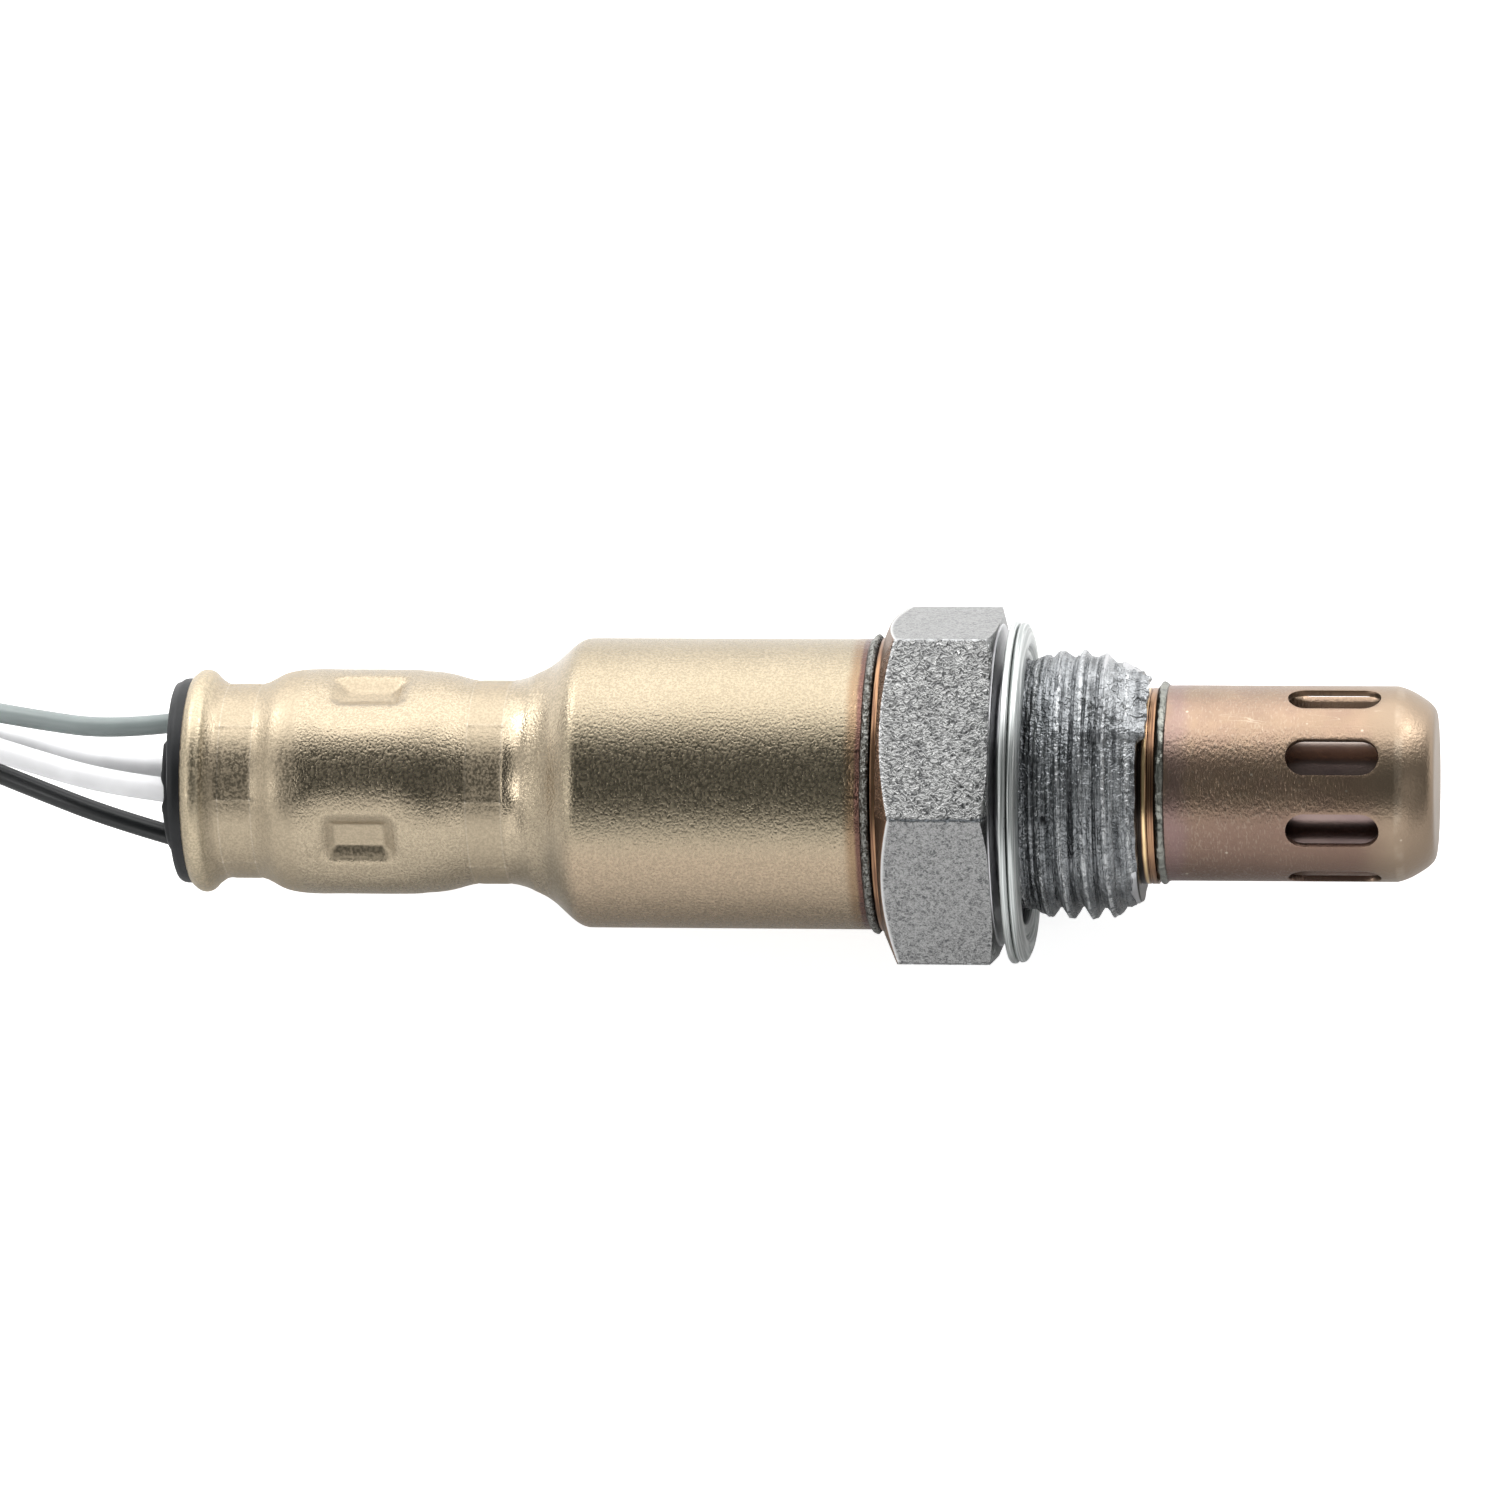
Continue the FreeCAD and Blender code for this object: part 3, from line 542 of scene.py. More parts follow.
@dataclass(frozen=True)
class Finishes:
    """Every material of the sensor."""

    cover: Material
    hexagon: Material
    thread: Material
    gasket: Material
    paste: Material
    shield: Material
    slot_rim: Material
    inner_shield: Material
    rubber: Material
    jackets: dict[Jacket, Material]
    braid: Material
    moulded: Material
    tie: Material
    silicone: Material
    tinned: Material
    ceramic: Material
    talc: Material
    sheet: Material

    @classmethod
    def build(cls) -> "Finishes":
        """Makes every material from the shared effects."""
        effects = Effects.build()
        return cls(
            cover=cls._cover(effects), hexagon=cls._hexagon(effects), thread=cls._thread(effects),
            gasket=cls._gasket(effects), paste=cls._paste(effects), shield=cls._shield(effects),
            slot_rim=cls._slot_rim(effects), inner_shield=cls._inner_shield(effects),
            rubber=cls._rubber(effects), jackets={jacket: cls._jacket(effects, jacket) for jacket in Jacket},
            braid=cls._braid(effects),
            moulded=cls._plain(effects, "moulded_plastic", (0.045, 0.047, 0.050), 0.48, 0.22, 0.012),
            tie=cls._plain(effects, "tie_nylon", (0.020, 0.020, 0.021), 0.38, 0.5, 0.006),
            silicone=cls._plain(effects, "silicone_seal", (0.55, 0.13, 0.03), 0.42, 0.4, 0.008),
            tinned=cls._metal(effects, "tinned_pin", (0.74, 0.72, 0.66), 0.25),
            ceramic=cls._plain(effects, "ceramic_body", (0.80, 0.79, 0.74), 0.62, 0.25, 0.010),
            talc=cls._plain(effects, "talc_powder", (0.62, 0.62, 0.58), 0.85, 0.35, 0.030),
            sheet=cls._metal(effects, "contact_sheet", (0.56, 0.53, 0.47), 0.30))

    @staticmethod
    def _cover(effects: Effects) -> Material:
        """Pale gold drawn steel with a fine grain, die lines, heat tint near its weld, painted shade in front of its
        weld bead, and a warmer painted reflection tint on its lower side.
        """
        finish = Finish("champagne_steel", effects, 1.0, 0.30)
        band = finish.band
        grain, lines = finish.grain(0.165, 9.0), finish.turned(0.12, 0.26)
        finish.coat = grain.mottle.mix((0.394, 0.329, 0.233), (0.420, 0.352, 0.253))
        # The lower side, by angle about the axis, is painted a warmer tone: a painted reflection tint.
        finish.paint(lines.angle.ramp(-35.0, -55.0), (0.440, 0.340, 0.241))
        finish.paint(band(-60.0, -28.6, 1.6), (0.462, 0.382, 0.275))
        finish.paint(band(-60.0, -53.1, 0.5), (0.560, 0.470, 0.335))
        pressed = most(*(band(x - 0.04, x + 0.04, 0.05, 0.06) for x in (-52.27, -50.06, -35.47, -33.13)))
        joint = (lines.angle - DIE_TURN).math("PINGPONG", 180.0 / DIE_COUNT).ramp(1.3, 0.4)
        necks = most(band(-52.4, -49.9, 0.1), band(-35.6, -33.0, 0.1))
        finish.paint(most(joint * necks * 0.07, (joint * 0.5 + 0.24) * pressed), (0.74, 0.66, 0.55))
        finish.paint(grain.height.ramp(0.60, 0.42) * 0.42, (0.190, 0.160, 0.114))
        finish.paint(band(-9.7, -7.8, 0.7, 0.3), (0.270, 0.185, 0.115))
        finish.paint(band(-9.10, -8.38, 0.25, 0.25), (0.140, 0.075, 0.060))
        weld, uneven = band(-8.73, -7.98, 0.12, 0.16), finish.grain(0.35, 1.1)
        seam = uneven.ridges.mix((0.075, 0.072, 0.064), (0.300, 0.300, 0.280))
        # The near-black stretch at the bead's front edge is painted shade in the gap before the boss.
        finish.paint(weld, band(-8.20, -7.98, 0.08, 0.10).mix(seam, (0.020, 0.018, 0.016)))
        height = lines.height * 0.6 + grain.height
        polished = most(band(-30.1, -28.7, 0.8), band(-32.8, -31.5, 0.6))
        staked = band(-44.9, -40.4, 0.3) * lines.radius.ramp(7.30, 7.10)
        rolled = most(band(-56.0, -46.9, 0.9), band(-35.6, -33.0, 0.2))
        smooth = most(staked, most(polished, rolled) * 0.6)
        finish.bump(height * (smooth * -0.85 + 1.0), 0.042)
        finish.bump(weld * uneven.height, 0.30)
        duller = most(rolled, staked) * 0.50 - polished * 0.42 + 1.0
        finish.roughness(height.ramp(0.60, 1.00, 0.20, 0.35) * duller + weld * 0.15)
        return finish.done()

    @staticmethod
    def _hexagon(effects: Effects) -> Material:
        """Light grey steel with a winding blasted skin painted with glints and small shadows, bright worn edges, a
        top face painted lighter as painted light, and painted shade along one edge.
        """
        finish = Finish("blasted_steel", effects, 1.0, 0.36)
        skin, fine, place = finish.grain(0.40, 9.0), finish.grain(0.26, 3.0), finish.turned()
        from_edge = (place.angle - 30.0).math("PINGPONG", 30.0)
        worn = (skin.height * 2.4 + from_edge).ramp(1.75, 1.15)
        # The edge at -30 degrees is painted dark: painted shade.
        dark_edge_shade = (skin.height * 1.6 + abs(place.angle + 30.0)).ramp(1.45, 0.95)
        # The top face gets lighter tones and more pale ridges than the other faces: painted light.
        top = place.angle.ramp(-31.0, -29.0) * place.angle.ramp(31.0, 29.0)
        dark = top.mix((0.112, 0.113, 0.116), (0.128, 0.129, 0.132))
        light = top.mix((0.276, 0.276, 0.275), (0.306, 0.306, 0.304))
        # The skin's grain is painted as pale winding ridges on a darker ground, standing in for its glints and small
        # shadows: painted highlights and painted shade.
        finish.coat = fine.ridges.mix(dark, light)
        finish.paint(skin.ridges * (top * 0.28 + 0.20), (0.70, 0.70, 0.69))
        finish.paint(worn * 0.7, (0.66, 0.67, 0.68))
        finish.paint(dark_edge_shade * 0.85, (0.095, 0.108, 0.120))
        cone = (place.radius - CHAMFER_RADIUS) * 0.4377 + HEXAGON_REAR
        past = place.along - cone
        finish.paint(past.ramp(0.30, 0.10), (0.60, 0.60, 0.60))
        finish.paint(past.ramp(0.07, 0.03), (0.190, 0.115, 0.075))
        finish.bump(skin.ridges * (top - worn), 0.230)
        finish.bump(fine.height, 0.060)
        return finish.done()

    @staticmethod
    def _thread(effects: Effects) -> Material:
        """Bare turned steel, heat-tinted to copper on the nose collar, with a painted highlight line on the collar
        and painted shadow beside the paste's front.
        """
        finish = Finish("turned_steel", effects, 1.0, 0.28)
        lines = finish.turned(0.10, 5.0)
        copper = finish.grain(0.5, 2.2).mottle.mix((0.380, 0.220, 0.125), (0.290, 0.165, 0.100))
        streaked = lines.height.ramp(0.45, 0.65).mix(copper, (0.150, 0.080, 0.050))
        finish.coat = lines.height.mix((0.42, 0.42, 0.43), (0.60, 0.60, 0.62))
        finish.paint(finish.band(9.25, 12.0, 0.15) * lines.radius.ramp(6.75, 6.65), streaked)
        # The thin bright gold line on the collar is a painted highlight.
        finish.paint(finish.band(9.74, 9.92, 0.10, 0.05), (0.90, 0.66, 0.36))
        # Near-black beside the paste's front end is painted shadow of the paste on the collar.
        paste_shadow = finish.band(9.30, 9.68, 0.08, 0.06) * lines.radius.ramp(8.05, 7.75)
        finish.paint(paste_shadow, (0.030, 0.024, 0.020))
        finish.paint(finish.band(-8.3, -7.4, 0.10), streaked)
        finish.bump(lines.height, 0.014)
        return finish.done()

    @staticmethod
    def _gasket(effects: Effects) -> Material:
        """Bright sheet steel with fine lines round it and small scuffs."""
        finish = Finish("gasket_sheet", effects, 1.0, 0.36)
        lines = finish.turned(0.07, 6.0)
        finish.coat = lines.height.ramp(0.38, 0.62).mix((0.37, 0.39, 0.385), (0.64, 0.66, 0.65))
        finish.paint(finish.marks(0.6, 0.5).specks, (0.25, 0.25, 0.25))
        finish.bump(lines.height, 0.008)
        return finish.done()

    @staticmethod
    def _paste(effects: Effects) -> Material:
        """Dried anti-seize paste: dark grey grit with metal flakes, smeared and rubbed bright on the crests, with
        painted light on its upper side and painted shade in the thread's roots and underneath.
        """
        finish = Finish("dried_paste", effects, 0.85, 0.38)
        grit, lumps, smear = finish.grain(0.21, 0.9), finish.grain(0.55, 3.0), finish.turned(0.13, 3.6)
        finish.coat = smear.height.ramp(0.36, 0.64).mix((0.122, 0.130, 0.138), (0.330, 0.342, 0.356))
        finish.paint(lumps.mottle * 0.30, (0.080, 0.086, 0.092))
        finish.paint(grit.height.ramp(0.56, 0.64) * 0.20, (0.74, 0.75, 0.76))
        # The upper side is painted lighter, mostly towards the front: painted light.
        upper_side_painted_light = smear.angle.ramp(-15.0, 25.0, 0.14, 0.50) * smear.along.ramp(3.0, 8.0)
        finish.paint(upper_side_painted_light, (0.47, 0.48, 0.49))
        phase = (smear.along - THREAD_CREST_X) / THREAD_PITCH + smear.angle / 360.0
        off_crest = phase.math("PINGPONG", 0.5)
        # Darker in the thread's roots and on the underside: painted shade.
        root_shade = off_crest.ramp(0.34, 0.46) * lumps.mottle.ramp(0.0, 0.8)
        below = smear.angle.ramp(-50.0, -85.0, 0.0, 0.45)
        finish.paint(most(root_shade * 0.65, below), (0.045, 0.049, 0.054))
        rubbed = off_crest.ramp(0.11, 0.04) * lumps.height.ramp(0.42, 0.54)
        finish.paint(rubbed * 0.80, (0.56, 0.57, 0.58))
        finish.bump(grit.height, 0.075)
        finish.bump(smear.height, 0.070)
        finish.bump(lumps.ridges, 0.050)
        finish.roughness(smear.height.ramp(0.3, 0.7, 0.24, 0.42))
        return finish.done()

    @staticmethod
    def _shield(effects: Effects) -> Material:
        """Bronze heat tint, violet beside the weld and olive at the nose, with pale marks, pale dashes painted as
        glints, painted shade on the lower side, and a faint painted highlight ring at the bend into the nose.
        """
        finish = Finish("bronzed_steel", effects, 1.0, 0.35)
        band = finish.band
        grain, patches = finish.grain(0.22, 3.0), finish.grain(0.9, 1.6)
        lines, marks = finish.turned(0.11, 0.36), finish.marks(0.9, 0.35)
        finish.coat = grain.mottle.mix((0.303, 0.216, 0.150), (0.336, 0.236, 0.166))
        finish.paint(patches.mottle * 0.45, (0.258, 0.174, 0.134))
        # The lower side, by angle about the axis, is painted darker: painted shade.
        finish.paint(lines.angle.ramp(-18.0, -50.0) * 0.85, (0.190, 0.122, 0.096))
        finish.paint(band(24.9, 30.0, 3.0, 0.8) * 0.8, (0.315, 0.240, 0.170))
        # The faint light ring where the tube bends into the nose is a painted highlight.
        finish.paint(band(26.42, 26.95, 0.30, 0.12) * patches.mottle * 0.28, (0.56, 0.47, 0.37))
        finish.paint(band(11.0, 12.4, 1.2, 1.6) * 0.32, (0.235, 0.155, 0.185))
        weld = band(10.53, 11.14, 0.10, 0.10)
        finish.paint(weld, patches.mottle.mix((0.190, 0.195, 0.175), (0.290, 0.290, 0.260)))
        # Pale specks and scratches are handling marks; the pale dashes along the turning lines are painted glints.
        dashes = lines.height.ramp(0.54, 0.68) * band(11.8, 21.0, 3.0)
        pale = most(marks.specks, marks.scratches * 0.4, dashes * 0.20)
        finish.paint(pale * 0.6, (0.72, 0.64, 0.52))
        finish.bump(lines.height * band(10.0, 24.0, 8.0) * 1.8 + grain.height, 0.026)
        finish.bump(weld * patches.height, 0.30)
        return finish.done()

    @staticmethod
    def _slot_rim(effects: Effects) -> Material:
        """Bronze rubbed bright on the edges of the slots."""
        finish = Finish("rubbed_bronze", effects, 1.0, 0.32)
        grain = finish.grain(0.3, 1.2)
        finish.coat = grain.mottle.mix((0.50, 0.40, 0.28), (0.72, 0.60, 0.44))
        finish.bump(grain.height, 0.010)
        return finish.done()

    @staticmethod
    def _inner_shield(effects: Effects) -> Material:
        """Inner tube, darkened to maroon by heat, with its top painted pale silver as a painted highlight."""
        finish = Finish("maroon_steel", effects, 1.0, 0.30)
        grain, place = finish.grain(0.2, 3.0), finish.turned()
        finish.coat = grain.mottle.mix((0.250, 0.180, 0.170), (0.300, 0.220, 0.200))
        # The top, by angle, is painted pale silver: a painted highlight.
        finish.paint(place.angle.ramp(12.0, 34.0), (0.760, 0.730, 0.660))
        finish.bump(grain.height, 0.006)
        return finish.done()

    @staticmethod
    def _rubber(effects: Effects) -> Material:
        """Black satin rubber with a faint bloom."""
        finish = Finish("black_rubber", effects, 0.0, 0.46)
        finish.shader.inputs["Specular IOR Level"].default_value = 0.30
        grain = finish.grain(0.35, 2.5)
        finish.coat = grain.mottle.mix((0.008, 0.009, 0.010), (0.015, 0.016, 0.018))
        finish.bump(grain.height, 0.010)
        return finish.done()

    @staticmethod
    def _jacket(effects: Effects, jacket: Jacket) -> Material:
        """Smooth silicone jacket of a lead."""
        finish = Finish("jacket_" + jacket.name.lower(), effects, 0.0, 0.34)
        grain = finish.grain(0.5, 4.0)
        finish.coat = grain.mottle.mix(darker(jacket.value, 0.88), jacket.value)
        finish.bump(grain.height, 0.006)
        return finish.done()

    @staticmethod
    def _braid(effects: Effects) -> Material:
        """Varnished glass-fibre braid, drawn on the tube's own UV map."""
        finish = Finish("varnished_braid", effects, 0.0, 0.5)
        spot = finish.nodes.add("SeparateXYZ", {0: finish.nodes.value("UVMap", uv_map="along")})
        round_share = Value(spot.outputs[0]) * STRANDS_ROUND
        along = Value(spot.outputs[1]) * STRANDS_PER_METRE
        weave = most(*(abs(((round_share * sign + along) * math.pi).math("SINE")) for sign in (1.0, -1.0)))
        finish.coat = weave.ramp(0.45, 1.0).mix((0.008, 0.008, 0.008), (0.040, 0.040, 0.042))
        finish.bump(weave, 0.12)
        return finish.done()

    @staticmethod
    def _plain(effects: Effects, name: str, colour: Colour, roughness: float, grain_size: float,
               depth: float) -> Material:
        """Moulded or pressed material with an even fine grain.

        Args:
            effects: The shared node groups.
            name: The material's name.
            colour: Its colour.
            roughness: Its roughness.
            grain_size: Size of its grain in millimetres.
            depth: Depth of its grain in millimetres.

        Returns:
            The material.
        """
        finish = Finish(name, effects, 0.0, roughness)
        grain = finish.grain(grain_size, 5.0)
        finish.coat = grain.mottle.mix(darker(colour, 0.86), colour)
        finish.bump(grain.height, depth)
        return finish.done()

    @staticmethod
    def _metal(effects: Effects, name: str, colour: Colour, roughness: float) -> Material:
        """Plain small metal part with fine lines."""
        finish = Finish(name, effects, 1.0, roughness)
        lines = finish.turned(0.12, 3.0)
        finish.coat = lines.height.mix(darker(colour, 0.85), colour)
        finish.bump(lines.height, 0.006)
        return finish.done()


# Sub-assemblies, with sizes in millimetres along the axis from the gasket seat


@dataclass
class RearCover:
    """Drawn can with a rolled rim, two crimped necks, four staked dimples and a weld bead."""

    wall: float = 0.5
    can_radius: float = 9.73
    neck_one_radius: float = 6.56
    barrel_radius: float = 7.58
    neck_two_radius: float = 6.85
    front: float = -8.06
    bead_height: float = 0.30
    bead_waver: float = 0.09
    crimp_depth: float = 0.035
    dimple_x: float = -42.6
    dimple_turns: tuple[float, ...] = (-52.4, 40.2, 130.2, -139.8)
    dimple_floor: float = 6.52
    dimple_half_length: float = 1.60
    dimple_half_width: float = 0.96
    dimple_run: float = 1.20
    dimple_sag: float = 0.36
    sag_reach: Point = (3.3, 4.0)
    dimple_stagger: tuple[float, ...] = (-0.17, 0.25, 0.0, 0.1)
    dimple_soft: tuple[float, ...] = (0.0, 0.8, 0.4, 0.4)
    necks: tuple[Point, ...] = ((-52.25, -50.08), (-35.45, -33.15))
    steps: int = 336

    def line(self) -> list[Point]:
        """Outline of the wall, outside and back inside."""
        neck, barrel, waist, can = self.neck_one_radius, self.barrel_radius, self.neck_two_radius, self.can_radius
        line = Line(-54.60, 6.32)
        line.arc((-54.78, 6.86), (-54.50, 7.24), 8).arc((-54.0, 7.50), (-53.28, 7.16), 10)
        line.arc((-52.92, 6.84), (-52.50, neck + 0.02), 8).to(-52.20, neck).to(-50.08, neck, 0.35)
        line.curve([(-49.7, neck + 0.10), (-49.2, 6.91), (-48.7, 7.18), (-48.2, 7.36), (-47.7, 7.46),
                    (-47.2, 7.52), (-46.6, 7.56), (-45.9, barrel), (-45.2, barrel),
                    (-41.2, barrel + 0.01), (-39.6, barrel - 0.03), (-38.9, 7.47), (-38.1, 7.41),
                    (-37.5, 7.33), (-36.9, 7.20), (-36.3, 7.03), (-35.8, 6.90), (-35.45, waist)], 0.14)
        line.to(-33.15, waist, 0.35)
        line.curve([(-32.8, waist + 0.04), (-32.2, 7.04), (-31.8, 7.19), (-31.4, 7.38), (-31.0, 7.56),
                    (-30.6, 7.77), (-30.2, 8.04), (-29.8, 8.37), (-29.4, 8.74), (-28.95, 9.14), (-28.5, 9.47),
                    (-28.1, 9.66), (-27.75, can - 0.01), (-27.2, can)], 0.14)
        line.to(self.front - 0.70, can, 1.2)
        bead = can + self.bead_height
        line.curve([(self.front - 0.63, can + 0.06), (self.front - 0.50, bead - 0.08), (self.front - 0.30, bead),
                    (self.front - 0.08, can + 0.10), (self.front, can - 0.12)], 0.06)
        line.to(self.front, can - self.wall).to(-27.0, can - self.wall, 4.0)
        line.to(-29.2, 8.45).to(-31.2, 6.95).to(-33.1, waist - self.wall).to(-35.5, waist - self.wall)
        line.to(-38.0, 6.92).to(-39.5, barrel - self.wall).to(-46.8, barrel - self.wall, 0.45)
        line.to(-50.0, neck - self.wall).to(-52.4, neck - self.wall).to(-53.3, 6.6).to(-54.2, 6.62)
        return line.points

    def dimple(self, along: float, arc: float, soft: float) -> float:
        """Depth that one dimple presses the barrel, with a flat floor and a soft surround.

        Args:
            along: Distance from its centre along the axis.
            arc: Distance from its centre round the barrel.
            soft: Share of rounding at the floor's edge.

        Returns:
            The depth in millimetres.
        """
        past_x = abs(along) - self.dimple_half_length
        past_y = abs(arc) - self.dimple_half_width
        outside = math.hypot(past_x, past_y) if min(past_x, past_y) > 0 else max(past_x, past_y)
        away = math.hypot(max(0.0, past_x) / self.sag_reach[0], max(0.0, past_y) / self.sag_reach[1])
        sag = self.dimple_sag * smooth_mask(away, 1.0, 0.0)
        keen = (1 - min(1.0, max(0.0, outside / self.dimple_run))) ** 1.4
        wall = keen + soft * (smooth_mask(outside, self.dimple_run * 1.1, -0.5) - keen)
        floor = self.dimple_floor / math.cos(min(0.5, abs(arc) / self.barrel_radius))
        return sag * (1 - wall) + wall * (self.barrel_radius - floor)

    def crimp(self, x: float, turn: float) -> float:
        """Depth of the marks that the crimping dies leave at the ends and joints of a neck."""
        depth = 0.0
        for start, end in self.necks:
            if start - 0.2 <= x <= end + 0.2:
                gap = turn_between(turn * DIE_COUNT, DIE_TURN * DIE_COUNT) / DIE_COUNT
                at_end = max(window(x, start + 0.05, 0.03, 0.09), window(x, end - 0.05, 0.03, 0.09))
                depth += self.crimp_depth * at_end - (0.015 + 0.06 * at_end) * window(gap, 0.0, 0.4, 1.1)
        return depth

    def shape(self, co: Vector) -> None:
        """Presses the dimples and the crimp marks into a point."""
        radius = radius_of(co)
        turn = angle_of(co)
        push = self.crimp(co.x, turn)
        if co.x > self.front - 0.75 and radius > self.can_radius - 0.2:
            push -= self.bead_waver * noise.noise(co * 1.6) * window(co.x, self.front - 0.32, 0.2, 0.3)
        for middle, shift, soft in zip(self.dimple_turns, self.dimple_stagger, self.dimple_soft):
            arc = math.radians(turn_between(turn, middle)) * self.barrel_radius
            along = co.x - self.dimple_x - shift
            if abs(arc) < 5.5 and abs(along) < 6.5:
                push += self.dimple(along, arc, soft)
        if push:
            set_radius(co, radius - push)

    def build(self, finishes: Finishes) -> None:
        """Makes the cover and dresses it."""
        bm = spin(self.line(), self.steps, closed=True)
        for vert in bm.verts:
            self.shape(vert.co)
        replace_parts(finish_piece(bm, "rear_cover_skin", [finishes.cover], 40), "rear_cover")


@dataclass
class Grommet:
    """Rubber plug with a raised face and a small collar round each lead."""

    face: float = -56.30
    boss_height: float = 0.52
    notch_depth: float = 0.44
    lean: float = 0.035
    dip: float = 0.12
    ring_height: float = 0.05
    boss_radius: float = 4.9
    flange_radius: float = 6.9
    body_radius: float = 6.05
    circle: float = 4.0
    steps: int = 160

    def build(self, finishes: Finishes, leads: dict[str, tuple[float, float]]) -> None:
        """Makes the plug, with a soft dimple where each lead leaves it.

        Args:
            finishes: The materials.
            leads: Radius and angle of each lead.
        """
        flange = self.face + self.boss_height
        rim = self.flange_radius
        line = Line(self.face, 0.0).to(self.face, self.boss_radius - 0.25, 0.22)
        line.arc((self.face + 0.07, self.boss_radius - 0.07), (self.face + 0.25, self.boss_radius), 4)
        line.to(flange - 0.12, self.boss_radius).to(flange, self.boss_radius + 0.12)
        line.to(flange, rim - 0.6, 0.5)
        line.arc((flange + 0.18, rim - 0.18), (flange + 0.6, rim), 6).to(flange + 1.18, rim)
        line.to(flange + 1.18, self.body_radius).to(-48.6, self.body_radius).to(-48.6, 0.0)
        bm = spin(line.points, self.steps)
        for vert in bm.verts:
            if vert.co.x > flange + 0.1:
                continue
            from_axis = radius_of(vert.co)
            if from_axis < self.boss_radius + 0.05:
                notch = sector(angle_of(vert.co), leads["gray"][1], 43.0, 6.0)
                vert.co.x += self.notch_depth * notch * smooth_mask(from_axis, 2.3, 2.7)
            else:
                vert.co.x -= self.lean * vert.co.y
            for radius, turn in leads.values():
                across, up = math.sin(math.radians(turn)), math.cos(math.radians(turn))
                away = math.hypot(vert.co.y - self.circle * across, vert.co.z - self.circle * up) - radius
                vert.co.x += self.dip * smooth_mask(away, 0.30, -0.05)
                vert.co.x -= self.ring_height * window(away, 0.42, 0.12, 0.2)
        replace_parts(finish_piece(bm, "grommet_plug", [finishes.rubber], 50), "grommet")


